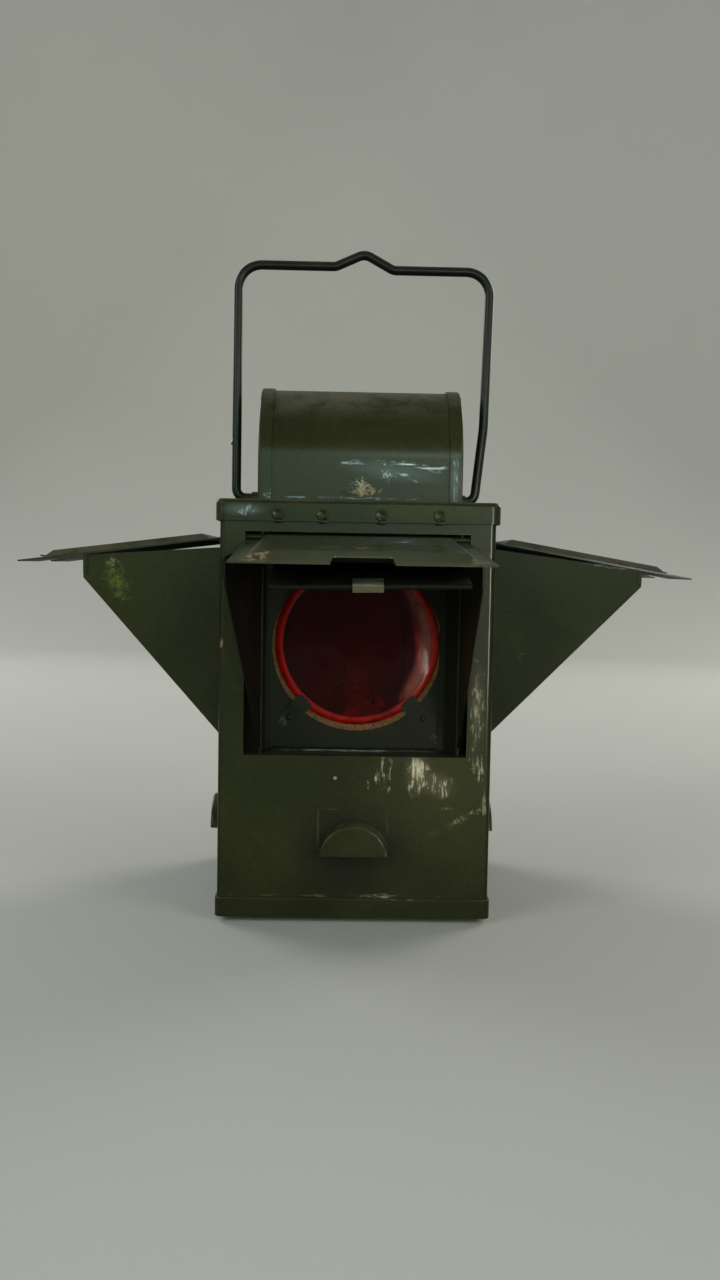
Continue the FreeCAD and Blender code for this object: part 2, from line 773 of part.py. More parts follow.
# ---- hood flaps -------------------------------------------------------------------------------
def pressed_panel(half_width, length, back_rim, side_rim, front_rim, roll_r, bore_r, roll_above):
    """A sheet panel from a rolled hinge at the origin to a free edge at y = -length.

    It has a plateau pressed up. roll_above puts the sheet under the hinge wire, else over it.
    """
    under = -roll_r if roll_above else roll_r - thin_sheet
    panel = block(-half_width, half_width, -length, 0, under, under + thin_sheet)
    rise = (-half_width + side_rim, half_width - side_rim, -length + front_rim, -back_rim)
    panel = panel.fuse(frustum(*rise, under + thin_sheet, plateau_height, plateau_slope))
    shift = thin_sheet / 2
    panel = panel.cut(frustum(rise[0] + shift, rise[1] - shift, rise[2] + shift, rise[3] - shift,
                              under, plateau_height, plateau_slope))
    roll = rod(roll_r, V(-half_width, 0, 0), V(half_width, 0, 0))
    bore = rod(bore_r, V(-half_width - over, 0, 0), V(half_width + over, 0, 0))
    return panel.fuse(roll).cut(bore).removeSplitter()


def with_finger_tab(panel, length, under):
    """The middle of the free edge is cut free from the rim and bent up."""
    root = -length + tab_length
    slot = tab_width / 2 + tab_slit
    panel = panel.cut(block(-slot, slot, -length - over, root, under - over, under + over))
    tab = block(-tab_width / 2, tab_width / 2, -tab_length, thin_sheet / 2, 0, thin_sheet)
    tips = [e for e in upright_edges(tab) if e.BoundBox.YMin < -tab_length + same]
    tab = moved(tab.makeFillet(tab_corner_r, tips), X, -tab_bend, V(0, root, under))
    return panel.fuse(tab).removeSplitter()


def make_flap(window):
    panel = pressed_panel(window_half - flap_side_play, flap_reach, flap_back_rim, flap_rim,
                          flap_front_rim, flap_roll_r, hinge_wire_r + running_gap, True)
    panel = with_finger_tab(panel, flap_reach, -flap_roll_r)
    return moved(moved(panel, X, window.droop, V(0, *flap_axis(window))), Z, window.turn)


def make_flap_wire(window):
    y, z = flap_axis(window)
    return moved(rod(hinge_wire_r, V(-wire_end, y, z), V(wire_end, y, z)), Z, window.turn)


def flap_underside(window):
    """Height of the underside of a flap at the outer edge of its cheeks."""
    y, z = flap_axis(window)
    a = radians(window.droop)
    along = (window.reach + flap_hinge_depth + flap_roll_r * sin(a)) / cos(a)
    return z - along * sin(a) - flap_roll_r * cos(a)


# ---- cheeks -------------------------------------------------------------------------------------
def make_cheek(right_hand, window):
    x, y = cheek_axis(right_hand, window.set_x)
    reach = window.reach + y + half
    top = flap_underside(window) - free_gap
    nose = window_top - cheek_nose_drop
    low, head = sill + cheek_foot_clear, window_top - window.head
    side, splay = (1, window.right_splay) if right_hand else (-1, window.left_splay)
    t = thin_sheet / 2
    leaf = prism([(-t, 0, low), (-t, -window.foot, low), (-t, -reach, nose), (-t, -reach, top),
                  (-t, 0, head)], V(thin_sheet, 0, 0))
    hem_x = sorted((side * t / 2, side * 3 * t))
    hem = block(*hem_x, -reach, -reach + cheek_hem, nose + cheek_hem, top - cheek_hem / 2)
    roll = rod(flap_roll_r, Z * (sill + free_gap), Z * head)
    bore = rod(hinge_wire_r + running_gap, Z * (sill - over), Z * (head + over))
    cheek = fused([leaf, hem, roll]).cut(bore)
    cheek.rotate(ORIGIN, Z, side * splay)
    return moved(moved(cheek, to=V(x, y, 0)), Z, window.turn)


# ---- signal shutter -------------------------------------------------------------------------------
def shutter_place(shape):
    y, z = shutter_axis()
    return moved(shape, X, shutter_droop, V(shutter_set_x, y, z))


def make_shutter():
    """A plain leaf with a rolled free edge, hinged behind the flap."""
    r = shutter_hinge_roll_r
    side = shutter_side
    edge_y, edge_z = -shutter_reach + shutter_roll_r, r - shutter_roll_r
    ends = [[V(-side, y, r - thin_sheet), V(side, y, r - thin_sheet + rise),
             V(side, y, r + rise), V(-side, y, r), V(-side, y, r - thin_sheet)]
            for y, rise in ((0, 0), (edge_y, shutter_warp))]
    leaf = Part.makeLoft([Part.makePolygon(end) for end in ends], True, True)
    edge = rod(shutter_roll_r, V(-side, edge_y, edge_z), V(side, edge_y, edge_z + shutter_warp))
    roll = rod(r, V(-side, 0, 0), V(side, 0, 0))
    bore = rod(shutter_wire_r + running_gap, V(-side - over, 0, 0), V(side + over, 0, 0))
    return shutter_place(fused([leaf, edge, roll]).cut(bore))


def make_shutter_clip():
    """The finger clip: it goes round the rolled edge and has a lip that leans back."""
    t = thin_sheet
    top = shutter_hinge_roll_r + lap_gap
    bottom = shutter_hinge_roll_r - 2 * shutter_roll_r - lap_gap
    back = -shutter_reach - lap_gap
    tip = top + clip_lip
    outline = [(back - t, bottom - t), (back - t, top + t), (back - t + clip_lean, tip),
               (back + clip_lean, tip), (back, top + t), (back + clip_top_leg, top + t),
               (back + clip_top_leg, top), (back, top), (back, bottom),
               (back + clip_bottom_leg, bottom), (back + clip_bottom_leg, bottom - t)]
    x = clip_set_x - clip_width / 2
    clip = prism([(x, y, z) for y, z in outline], V(clip_width, 0, 0))
    clip.rotate(V(-shutter_side, 0, 0), Y, -degrees(atan2(shutter_warp, 2 * shutter_side)))
    return shutter_place(clip)


def make_shutter_wire():
    y, z = shutter_axis()
    return rod(shutter_wire_r, V(-wire_end, y, z), V(wire_end, y, z))


# ---- oil font, burner and wick ------------------------------------------------------------------
def make_font():
    """A drawn tank with a rolled seam, a sloped shoulder, a neck and a filler."""
    t = thin_sheet
    top = font_top
    shoulder = top - font_shoulder
    neck_in = font_neck_r - t
    ledge = font_neck_r + font_neck_ledge
    shell = turned([(0, floor_top), (font_r, floor_top), (font_r, shoulder - font_seam),
                    (font_r + t, shoulder - font_seam), (font_r + t, shoulder), (ledge, top),
                    (font_neck_r, top), (font_neck_r, top + font_neck_height),
                    (neck_in, top + font_neck_height), (neck_in, top - t), (ledge, top - t),
                    (font_r - t, shoulder - t / 2), (font_r - t, floor_top + t), (0, floor_top + t)])
    filler = rod(filler_r, V(0, filler_place, shoulder), V(0, filler_place, top + filler_height))
    filler_bore = rod(filler_r - t, V(0, filler_place, shoulder - over),
                      V(0, filler_place, top + filler_height + over))
    # the filler's foot would fill the tank, so the tank's own inside is cut again
    inside = turned([(0, floor_top + t), (font_r - t, floor_top + t), (font_r - t, shoulder - t / 2),
                     (ledge, top - t), (0, top - t)])
    return shell.fuse(filler.cut(inside)).cut(filler_bore).removeSplitter()


def make_filler_cap():
    r = filler_r + running_gap + cap_wall
    z0 = font_top + free_gap
    cap = Part.makeCylinder(r, cap_height, V(0, filler_place, z0))
    crown = [e for e in cap.Edges if abs(e.BoundBox.ZMin - z0 - cap_height) < same]
    cap = cap.makeFillet(cap_wall, crown)
    return cap.cut(Part.makeCylinder(filler_r + running_gap, filler_height + lap_gap,
                                     V(0, filler_place, z0 - free_gap)))


def make_font_seat():
    """A low C-shaped wall on the base pan, open to the rear."""
    inner = font_r + seat_gap
    ring = tube(inner + sheet, inner, Z * floor_top, Z * (floor_top + seat_height))
    mouth = block(-inner, inner, 0, 2 * inner, floor_top - over, floor_top + seat_height + over)
    return ring.cut(mouth)


def make_collar():
    """Brass collar: it screws over the neck of the font and carries the burner."""
    bore = font_neck_r + lap_gap
    z0 = font_top + lap_gap
    web = font_top + font_neck_height + lap_gap
    return turned([(bore, z0), (collar_r, z0), (collar_r, collar_top), (burner_hole_r, collar_top),
                   (burner_hole_r, web), (bore, web)])


def make_gallery():
    """The burner's drum, with a ring of air holes and the two bearings of the spindle."""
    z0, z1 = collar_top, gallery_top
    t = thin_sheet
    bend = z0 + gallery_foot
    drum = turned([(burner_hole_r, z0), (collar_r, z0), (gallery_r, bend), (gallery_r, z1),
                   (gallery_r - t, z1), (gallery_r - t, bend), (collar_r - t / 2, z0 + t),
                   (burner_hole_r, z0 + t)])
    for k in range(gallery_holes):
        angle = 360 / gallery_holes * (k + 0.5)
        hole_z = z1 - gallery_hole_drop
        hole = rod(gallery_hole_r, V(0, 0, hole_z), V(gallery_r + over, 0, hole_z))
        drum = drum.cut(moved(hole, Z, angle))
    bearing = rod(spindle_r + running_gap, V(-2 * gallery_r, spindle_y, spindle_z),
                  V(2 * gallery_r, spindle_y, spindle_z))
    return drum.cut(bearing)


def make_dome():
    """The deflector over the wick: a cap with a slot for the flame."""
    z0 = gallery_top
    ball_r = (gallery_r ** 2 + dome_height ** 2) / (2 * dome_height)
    centre = V(0, 0, z0 + dome_height - ball_r)
    above = block(-gallery_r, gallery_r, -gallery_r, gallery_r, z0, z0 + dome_height)
    dome = Part.makeSphere(ball_r, centre).common(above)
    dome = dome.cut(Part.makeSphere(ball_r - thin_sheet, centre))
    slot = block(-dome_slot_width / 2, dome_slot_width / 2, -dome_slot_depth / 2, dome_slot_depth / 2,
                 z0, z0 + dome_height + over)
    return dome.cut(slot)


def make_wick_tube():
    """A flat tube; its rear wall has windows for the two toothed wheels."""
    x_in, y_in = wick_width / 2 + wick_tube_play, wick_thickness / 2 + wick_tube_play
    t = thin_sheet
    z0, z1 = collar_top + t, font_top + wick_tube_rise
    tube_wall = block(-x_in - t, x_in + t, -y_in - t, y_in + t, z0, z1)
    tube_wall = tube_wall.cut(block(-x_in, x_in, -y_in, y_in, z0 - over, z1 + over))
    rim = wick_tube_flange
    shelf = block(-x_in - rim, x_in + rim, -y_in - rim, y_in + rim, z0, z0 + t)
    shelf = shelf.cut(block(-x_in, x_in, -y_in, y_in, z0 - over, z0 + 2 * t))
    solid = tube_wall.fuse(shelf)
    for x in wheel_places():
        solid = solid.cut(block(x - wick_wheel_width / 2 - free_gap, x + wick_wheel_width / 2 + free_gap,
                                0, y_in + t + over, spindle_z - wick_wheel_r, spindle_z + wick_wheel_r))
    return solid.removeSplitter()


def wheel_places():
    return [-wick_width / 4, wick_width / 4]


def make_wick():
    top = font_top + wick_tube_rise + wick_stand
    return block(-wick_width / 2, wick_width / 2, -wick_thickness / 2, wick_thickness / 2,
                 font_top - wick_tail, top)


def make_spindle():
    """Two toothed wheels on a shaft, with a milled knob at its right end."""
    knob_end = gallery_r + wick_knob_out
    shaft = rod(spindle_r, V(-gallery_r - spindle_end, 0, 0), V(knob_end, 0, 0))
    wheels = []
    for x in wheel_places():
        start = V(x - wick_wheel_width / 2, 0, 0)
        wheel = rod(wick_wheel_r, start, start + X * wick_wheel_width)
        for k in range(wick_wheel_teeth):
            notch = rod(wick_tooth_r, V(start.x - over, wick_wheel_r, 0),
                        V(start.x + wick_wheel_width + over, wick_wheel_r, 0))
            wheel = wheel.cut(moved(notch, X, 360 / wick_wheel_teeth * k))
        wheels.append(wheel)
    knob_start = knob_end - wick_knob_width
    knob = rod(wick_knob_r, V(knob_start, 0, 0), V(knob_end, 0, 0))
    flute_at = wick_knob_r + wick_knob_flute_r / 3
    for k in range(wick_knob_flutes):
        flute = rod(wick_knob_flute_r, V(knob_start - over, flute_at, 0), V(knob_end + over, flute_at, 0))
        knob = knob.cut(moved(flute, X, 360 / wick_knob_flutes * k))
    return moved(fused([shaft, knob] + wheels), to=V(0, spindle_y, spindle_z))


# ---- rear door --------------------------------------------------------------------------------------
def knuckle_spans():
    """Where the fixed knuckles are, along the pin."""
    step = (door_high - door_low - door_knuckle_length) / (door_knuckles - 1)
    starts = [door_low + k * step for k in range(door_knuckles)]
    return [(start, start + door_knuckle_length) for start in starts]


def make_door():
    middle = (door_low + door_high) / 2
    length = door_x + door_opening_half + door_lap
    panel = pressed_panel((door_high - door_low) / 2, length, door_back_rim, flap_rim,
                          flap_front_rim, door_roll_r, door_pin_r + running_gap, False)
    # hinge along Z, free edge towards -X, plateau pressed inwards
    panel = moved(moved(panel, X, 90), Y, 90, V(door_x, door_y, middle))
    room = door_roll_r + free_gap
    for z0, z1 in knuckle_spans():
        panel = panel.cut(block(door_x - room, door_x + room, door_y - room, door_y + room,
                                z0 - free_gap, z1 + free_gap))
    return panel


def make_door_leaf():
    """The leaf riveted to the shell, with its knuckles; it is cut away beside the door's own."""
    spans = knuckle_spans()
    leaf = block(door_x, door_x + door_leaf_width, half, half + sheet, door_low, door_high)
    leaf = fused([leaf] + [rod(door_roll_r, V(door_x, door_y, z0), V(door_x, door_y, z1))
                           for z0, z1 in spans])
    for before, after in zip(spans, spans[1:]):
        leaf = leaf.cut(block(door_x - over, door_x + door_roll_r + free_gap, half - over,
                              half + sheet + over, before[1], after[0]))
    return leaf.cut(rod(door_pin_r + running_gap, V(door_x, door_y, door_low - over),
                        V(door_x, door_y, door_high + over)))


def make_door_pin():
    return rod(door_pin_r, V(door_x, door_y, door_low - door_pin_end),
               V(door_x, door_y, door_high + door_pin_end))


def button_pivot():
    """The pivot of the turn button, on the face of the shell."""
    return V(-door_opening_half - door_lap - button_out, half, band_top + button_rise)


def make_button():
    """A lever with round ends; it stands upright when the door is free."""
    r = button_width / 2
    y0, y1 = door_button_y, door_button_y + button_thickness
    tip = button_length - r
    lever = fused([rod(r, V(0, y0, 0), V(0, y1, 0)), block(-r, r, y0, y1, 0, tip),
                   rod(r, V(0, y0, tip), V(0, y1, tip))])
    lever = lever.cut(rod(button_rivet_r + running_gap, ORIGIN, Y * (y1 + over)))
    return moved(lever, to=button_pivot())


def make_button_rivet():
    """A shouldered rivet that carries the button clear of the shell."""
    seat = door_button_y + button_thickness + lap_gap
    head = dome_rivet(button_head_r, rivet_head_height, button_rivet_r, seat + sheet + lap_gap)
    shoulder = rod(button_head_r, ORIGIN, Y * (door_button_y - lap_gap))
    return moved(fused([moved(head, Z, 180, Y * seat), shoulder]), to=button_pivot())


# ---- all nodes ------------------------------------------------------------------------------------------
nodes = {
    "base_foot": make_foot(),
    "base_pan": make_base_pan(),
    "body_shell": make_body_shell(),
    "intake_baffles": make_baffles(),
    "lid": make_lid(),
    "lid_rivets": make_lid_rivets(),
    "chimney_hood": make_hood(),
    "left_end_cap": make_end_cap(-1),
    "right_end_cap": make_end_cap(1),
    "handle": make_handle(),
    "left_handle_ear": make_handle_ear(-1),
    "right_handle_ear": make_handle_ear(1),
    "lower_deck": make_lower_deck(),
    "upper_deck": make_upper_deck(),
    "cheek_wires": make_cheek_wires(),
    "corner_channels": make_corner_channels(),
    "signal_shutter": make_shutter(),
    "shutter_clip": make_shutter_clip(),
    "shutter_wire": make_shutter_wire(),
    "oil_font": make_font(),
    "filler_cap": make_filler_cap(),
    "font_seat": make_font_seat(),
    "burner_collar": make_collar(),
    "burner_gallery": make_gallery(),
    "burner_dome": make_dome(),
    "wick_tube": make_wick_tube(),
    "wick": make_wick(),
    "wick_spindle": make_spindle(),
    "rear_door": make_door(),
    "door_hinge_leaf": make_door_leaf(),
    "door_pin": make_door_pin(),
    "door_button": make_button(),
    "door_button_rivet": make_button_rivet(),
}

for side, window in windows.items():
    turn = window.turn
    nodes[side + "_flap"] = make_flap(window)
    nodes[side + "_flap_wire"] = make_flap_wire(window)
    for name, right_hand in zip(cheek_names[side], (False, True)):
        nodes[name] = make_cheek(right_hand, window)
    nodes[side + "_lens_plate"] = moved(make_lens_plate(), Z, turn)
    nodes[side + "_lens"] = moved(make_lens(), Z, turn)
    nodes[side + "_gasket"] = moved(make_gasket(), Z, turn)
    nodes[side + "_lens_clips"] = [moved(clip, Z, turn) for clip in make_lens_clips()]
nodes["lens_rivets"] = [moved(rivet, Z, window.turn) for window in windows.values()
                        for rivet in make_lens_rivets()]

os.makedirs("parts", exist_ok=True)
for name, shape in nodes.items():
    if isinstance(shape, list):
        shape = Part.makeCompound(shape)
    shape.exportStep(f"parts/{name}.step")
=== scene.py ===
"""Looks and small details of the signal lamp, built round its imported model."""
from collections import namedtuple
import json
import math

import bmesh
import bpy
from mathutils import Matrix, Vector


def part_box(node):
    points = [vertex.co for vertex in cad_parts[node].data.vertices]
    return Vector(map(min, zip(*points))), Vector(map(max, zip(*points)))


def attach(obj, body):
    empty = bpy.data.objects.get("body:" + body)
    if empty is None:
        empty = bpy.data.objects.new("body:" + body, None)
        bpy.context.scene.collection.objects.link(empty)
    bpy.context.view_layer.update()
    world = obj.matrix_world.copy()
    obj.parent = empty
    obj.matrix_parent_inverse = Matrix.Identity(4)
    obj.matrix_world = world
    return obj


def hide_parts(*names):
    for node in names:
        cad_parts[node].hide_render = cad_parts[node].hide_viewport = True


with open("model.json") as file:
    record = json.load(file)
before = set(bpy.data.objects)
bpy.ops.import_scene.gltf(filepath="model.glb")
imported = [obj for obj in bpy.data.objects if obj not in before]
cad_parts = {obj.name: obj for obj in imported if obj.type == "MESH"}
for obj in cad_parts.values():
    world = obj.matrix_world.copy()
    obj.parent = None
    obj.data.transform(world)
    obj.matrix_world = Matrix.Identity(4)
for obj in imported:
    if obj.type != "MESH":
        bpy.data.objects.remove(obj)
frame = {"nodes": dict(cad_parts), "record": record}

bl_info = {
    "name": "Signal Lamp Finisher",
    "version": (1, 0, 0),
    "blender": (4, 5, 0),
    "location": "View3D > Sidebar > Signal Lamp",
    "description": "Paints, glazes and details a three-window signal lamp",
    "category": "Object",
}

MILLIMETRE = 0.001
FULL_TURN = math.radians(360.0)
ORIGIN = (0.0, 0.0, 0.0)
MERGE_REACH = 1e-6
BALL_STEPS = 3
SLOT_OF = {part["node"]: part["material_slot"] for part in frame["record"]["subparts"]}

# half the side of the shell, inside the proud base pan; the lid's lower edge; the lamp's middle
PAN_STEP = 0.0011
SHELL_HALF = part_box("base_pan")[1].x - PAN_STEP
LID_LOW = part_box("lid")[0].z
LAMP_MIDDLE = (0.0, 0.0, 0.18)

# the lenses: the thick rim's width and how it fades, the crown's height in mm, how the glass
# bends light, and how dim the clouds in the rim are
RIM_WIDTH = 0.0046
RIM_FADE = 0.0008
LENS_CROWN = 3.2
LENS_IOR = 1.18
RIM_CLOUD = 0.35

# the painted gleam on the glass, standing in for a reflection: from the rim inwards and from the
# middle to the right
GLEAM_RING = (0.0100, 0.0030)
GLEAM_SIDE = (0.020, 0.031)

# the painted glow in the glass, standing in for the lit inside seen through it: its lower and its
# upper part, and half the width and the top of its column
GLOW_LOW = (0.004, -0.002)
GLOW_HIGH = (0.006, 0.012)
COLUMN_SIDE = (0.0065, 0.0050)
COLUMN_TOP = (-0.008, -0.012)

# how dark the painted shade under the sheet is
UNDER_SHADE = 0.93

# which enamel each painted node gets; the others get "sheet"
PAINT_KIND = {
    "body_shell": "body",
    "base_pan": "pan",
    "chimney_hood": "hood",
    "left_end_cap": "cap",
    "right_end_cap": "cap",
    "lid": "lid",
    "front_flap": "flap",
    "left_front_cheek": "cheek",
    "right_front_cheek": "cheek",
    # these eight pieces, down to the baffles, get darker copies of the enamel: painted shade for
    # pieces in the recess, inside the lamp and in shadow
    "front_lens_plate": "window",
    "front_lens_clips": "window",
    "corner_channels": "smoked",
    "front_left_cheek": "black",
    "front_right_cheek": "shaded",
    "signal_shutter": "black",
    "upper_deck": "black",
    "intake_baffles": "black",
    "handle": "iron",
    "rear_door": "door",
}

# the crimps on the lid's skirt: places across in mm, height, and spun outline in mm
CRIMP_PLACES = (-43.8, -19.7, 12.2, 43.6)
CRIMP_Z = 0.2243
CRIMP_OUTLINE = ((0.0, 0.10), (1.2, 0.14), (2.0, 0.40), (2.6, 0.62), (3.0, 0.55), (3.35, 0.0),
                 (3.35, -0.40), (0.0, -0.40))
CRIMP_STEPS = 36

# the bead of solder in each crimp and the drip under it, in mm: half sizes, and the bead's place
BEAD_SIZE = (1.5, 0.7, 1.1)
BEAD_PLACE = (1.5, -0.25, -1.7)
DRIP_SIZE = (2.4, 0.6, 1.1)

# the plate behind the front louvre: its middle, half its size, and how its line fades
PRINT_CENTRE = (-0.0006, 0.0510)
PRINT_HALF = (0.0190, 0.0122)
PRINT_LINE = (0.035, 0.012)

# solder along the hood's foot: its place, half its width, and how lumpy it is
HOOD_FLANGE = 0.0040
SOLDER_SIZE = 0.0008
SOLDER_WAVE = 0.35
SOLDER_LUMPS = (0.9, 0.37)
SOLDER_STEPS = 90
SOLDER_SIDES = 10

# the burr on the handle: half sizes in mm, its lean, and its place
BURR_SIZE = (1.0, 1.6, 2.6)
BURR_LEAN = math.radians(25.0)
BURR_INSET = 0.0006
BURR_Z = 0.2705

# how the camera stands: its place, its turns and its lens
CAMERA_PLACE = (-0.01240077, -0.70885462, 0.19795913)
CAMERA_YAW = 0.0223535
CAMERA_PITCH = -0.0649801
CAMERA_ROLL = 0.0172082
CAMERA_LENS = 32.81
SENSOR_SIZE = 36.0
CAMERA_NEAR = 0.01

# the floor sweeps up into a low wall
SWEEP_RADIUS = 0.7
WALL_HEIGHT = 2.4
SWEEP_STEPS = 12
FLOOR_STEPS = 96
FLOOR_MOTTLE = 0.93
SKY_COLOUR = (0.92, 0.95, 1.0, 1.0)

# One soft light: the setting that holds its power, its size, its place and what it faces in
# metres, its colour and how wide it spreads in degrees.
Softbox = namedtuple("Softbox", "name power size place target colour spread")

SOFTBOXES = (
    Softbox("window_light", "window", (1.5, 0.42), (0.15, -1.90, 0.50), LAMP_MIDDLE,
            (0.52, 1.0, 0.80), 180.0),
    Softbox("pane_light", "pane", (0.28, 0.10), (0.18, -1.88, 0.60), LAMP_MIDDLE,
            (0.86, 0.94, 1.0), 180.0),
    Softbox("strip_light", "strip", (0.12, 0.30), (0.360, -0.86, 0.17), LAMP_MIDDLE,
            (1.0, 0.90, 0.84), 26.0),
    Softbox("left_light", "left", (1.0, 1.0), (-1.5, -1.3, 0.9), LAMP_MIDDLE,
            (0.95, 0.98, 1.0), 180.0),
    Softbox("right_light", "right", (1.0, 1.0), (1.5, -1.3, 0.9), LAMP_MIDDLE,
            (1.0, 0.96, 0.86), 180.0),
    Softbox("rear_left_light", "rear", (1.0, 1.0), (-1.5, 1.3, 1.1), LAMP_MIDDLE,
            (0.97, 0.99, 1.0), 180.0),
    Softbox("rear_right_light", "rear", (1.0, 1.0), (1.5, 1.3, 1.1), LAMP_MIDDLE,
            (1.0, 0.98, 0.94), 180.0),
    Softbox("backdrop_light", "back", (1.6, 0.3), (0.0, 1.0, 1.9), (0.0, 2.6, 0.9),
            (1.0, 0.99, 0.96), 180.0),
)
GLEAM_SPREAD = 90.0


# ---------------------------------------------------------------- shader maths

class Socket:
    """An output socket that maths can be written with."""

    def __init__(self, finish, socket):
        self.finish = finish
        self.socket = socket

    def maths(self, operation, first, second):
        return self.finish.node("ShaderNodeMath", {"operation": operation},
                                {0: first, 1: second})

    def __add__(self, other):
        return self.maths("ADD", self, other)

    def __radd__(self, other):
        return self.maths("ADD", other, self)

    def __sub__(self, other):
        return self.maths("SUBTRACT", self, other)

    def __rsub__(self, other):
        return self.maths("SUBTRACT", other, self)

    def __mul__(self, other):
        return self.maths("MULTIPLY", self, other)

    def __rmul__(self, other):
        return self.maths("MULTIPLY", other, self)

    def __pow__(self, other):
        return self.maths("POWER", self, other)


class Finish:
    """A material and the nodes that make its finish."""

    def __init__(self, name):
        self.material = bpy.data.materials.new(name)
        self.material.use_nodes = True
        self.tree = self.material.node_tree
        self.tree.nodes.clear()
        self.place = self.node("ShaderNodeTexCoord", output="Object")

    def node(self, kind, settings=None, values=None, output=0):
        """Adds a node with its settings and the values or links of its sockets."""
        made = self.tree.nodes.new(kind)
        for name, value in (settings or {}).items():
            setattr(made, name, value)
        for key, value in (values or {}).items():
            if isinstance(value, Socket):
                self.tree.links.new(value.socket, made.inputs[key])
            else:
                made.inputs[key].default_value = value
        return Socket(self, made.outputs[output])

    def noise(self, scale, detail=4.0, roughness=0.55, distortion=0.0, place=None):
        return self.node("ShaderNodeTexNoise", None, {
            "Vector": place or self.place, "Scale": scale, "Detail": detail,
            "Roughness": roughness, "Distortion": distortion})

    def cells(self, scale, output):
        return self.node("ShaderNodeTexVoronoi", None,
                         {"Vector": self.place, "Scale": scale}, output)

    def waves(self, direction, scale, distortion):
        return self.node("ShaderNodeTexWave", {"bands_direction": direction},
                         {"Vector": self.place, "Scale": scale, "Distortion": distortion})

    def stretched(self, scale):
        return self.node("ShaderNodeMapping", {"vector_type": "POINT"},
                         {"Vector": self.place, "Scale": scale})

    def step(self, value, low, high):
        """0 at low and 1 at high, smooth between them."""
        return self.node("ShaderNodeMapRange", {"interpolation_type": "SMOOTHSTEP"}, {
            "Value": value, "From Min": low, "From Max": high})

    def mix(self, first, second, share):
        return self.node("ShaderNodeMix", {"data_type": "RGBA"},
                         {0: share, 6: first, 7: second}, 2)

    def larger(self, first, second):
        return self.node("ShaderNodeMath", {"operation": "MAXIMUM"}, {0: first, 1: second})

    def bounded(self, value):
        return self.node("ShaderNodeClamp", None, {"Value": value})

    def axis(self, name):
        return self.node("ShaderNodeSeparateXYZ", None, {"Vector": self.place}, name)

    def edges(self, radius):
        """0 on flat sheet, growing towards 1 at sharp edges."""
        round_normal = self.node("ShaderNodeBevel", {"samples": 4}, {"Radius": radius})
        normal = self.node("ShaderNodeNewGeometry", output="Normal")
        facing = self.node("ShaderNodeVectorMath", {"operation": "DOT_PRODUCT"},
                           {0: round_normal, 1: normal}, "Value")
        return self.bounded(1 - facing)

    def facing_up(self):
        """1 on top of a piece, 0 on its sides and -1 under it."""
        normal = self.node("ShaderNodeTexCoord", output="Normal")
        return self.node("ShaderNodeSeparateXYZ", None, {"Vector": normal}, "Z")

    def size_of(self, value):
        return self.node("ShaderNodeMath", {"operation": "ABSOLUTE"}, {0: value})

    def from_axis(self, axes, centre):
        """Distance from a line that runs along the third axis."""
        first, second = (self.axis(name) - at for name, at in zip(axes, centre))
        return (first * first + second * second) ** 0.5

    def from_place(self, place, reach, turn=0.0):
        """0 at a place and 1 at its reach along X, Y and Z, in mm, turned against the clock."""
        near = self.node("ShaderNodeMapping", {"vector_type": "TEXTURE"}, {
            "Vector": self.place, "Location": in_metres(place),
            "Rotation": (0.0, math.radians(-turn), 0.0),
            "Scale": in_metres(reach)})
        return self.node("ShaderNodeVectorMath", {"operation": "LENGTH"}, {0: near}, "Value")

    def bump(self, height):
        """height is in millimetres."""
        return self.node("ShaderNodeBump", None,
                         {"Height": height, "Distance": MILLIMETRE, "Strength": 1.0})

    def surface(self, **values):
        named = {key.replace("_", " "): value for key, value in values.items()}
        shader = self.node("ShaderNodeBsdfPrincipled", None, named)
        self.node_output(shader)
        return self.material

    def node_output(self, shader):
        out = self.tree.nodes.new("ShaderNodeOutputMaterial")
        self.tree.links.new(shader.socket, out.inputs["Surface"])


def solid(colour):
    """A colour with its alpha."""
    return (colour[0], colour[1], colour[2], 1.0)


def dimmed(colour, share):
    """A colour with a share of its brightness."""
    return solid([share * value for value in colour])


def colour_property(name, description, default):
    return bpy.props.FloatVectorProperty(name=name, description=description, default=default,
                                         subtype="COLOR", size=3, min=0.0, max=1.0)


def power_property(name, description, default):
    return bpy.props.FloatProperty(name=name, description=description, default=default,
                                   min=0.0, unit="POWER")


# ---------------------------------------------------------------- settings

class LampPaintSettings(bpy.types.PropertyGroup):
    """Colours of the painted sheet."""
    paint: colour_property("Paint", "Olive enamel on the sheet metal", (0.0190, 0.0212, 0.0042))
    faded: colour_property("Faded paint", "Enamel where it has yellowed", (0.036, 0.038, 0.0060))
    iron: colour_property("Handle paint", "Greyer enamel on the handle", (0.012, 0.013, 0.009))
    dust: colour_property("Dust", "Brown dust on upward faces", (0.090, 0.080, 0.048))
    rubbed: colour_property("Rubbed edge", "Enamel rubbed thin along edges", (0.11, 0.12, 0.07))
    rust: colour_property("Rust", "Bare sheet in old chips", (0.030, 0.018, 0.010))
    # mostly painted shade inside the shell, under the sheet and on pieces in shadow; also one real
    # soot stain on the hood
    soot: colour_property("Soot", "Lamp black inside and under the flaps", (0.0035, 0.0035, 0.003))
    # mostly painted glints and highlights shown as bare tin; a few real scuffs
    bare: colour_property("Bare tin", "Tin where the paint is scuffed off", (0.52, 0.46, 0.32))
    # a painted yellow-green reflection on the left cheek
    moss: colour_property("Moss", "Yellow-green stain on the left cheek", (0.10, 0.125, 0.022))
    # mostly painted cold highlights and reflections, shown as polished tin
    cold: colour_property("Polished tin", "Cold grey tin on the hood", (0.42, 0.50, 0.54))
    tan: colour_property("Primer", "Tan primer where paint has flaked", (0.30, 0.22, 0.12))
    grime: colour_property("Grime", "Fine dark mottle in the enamel", (0.007, 0.0085, 0.0035))
    dents: bpy.props.FloatProperty(name="Dents", description="Depth of the waviness of the sheet",
                                   default=0.0011, min=0.0, unit="LENGTH", precision=5)


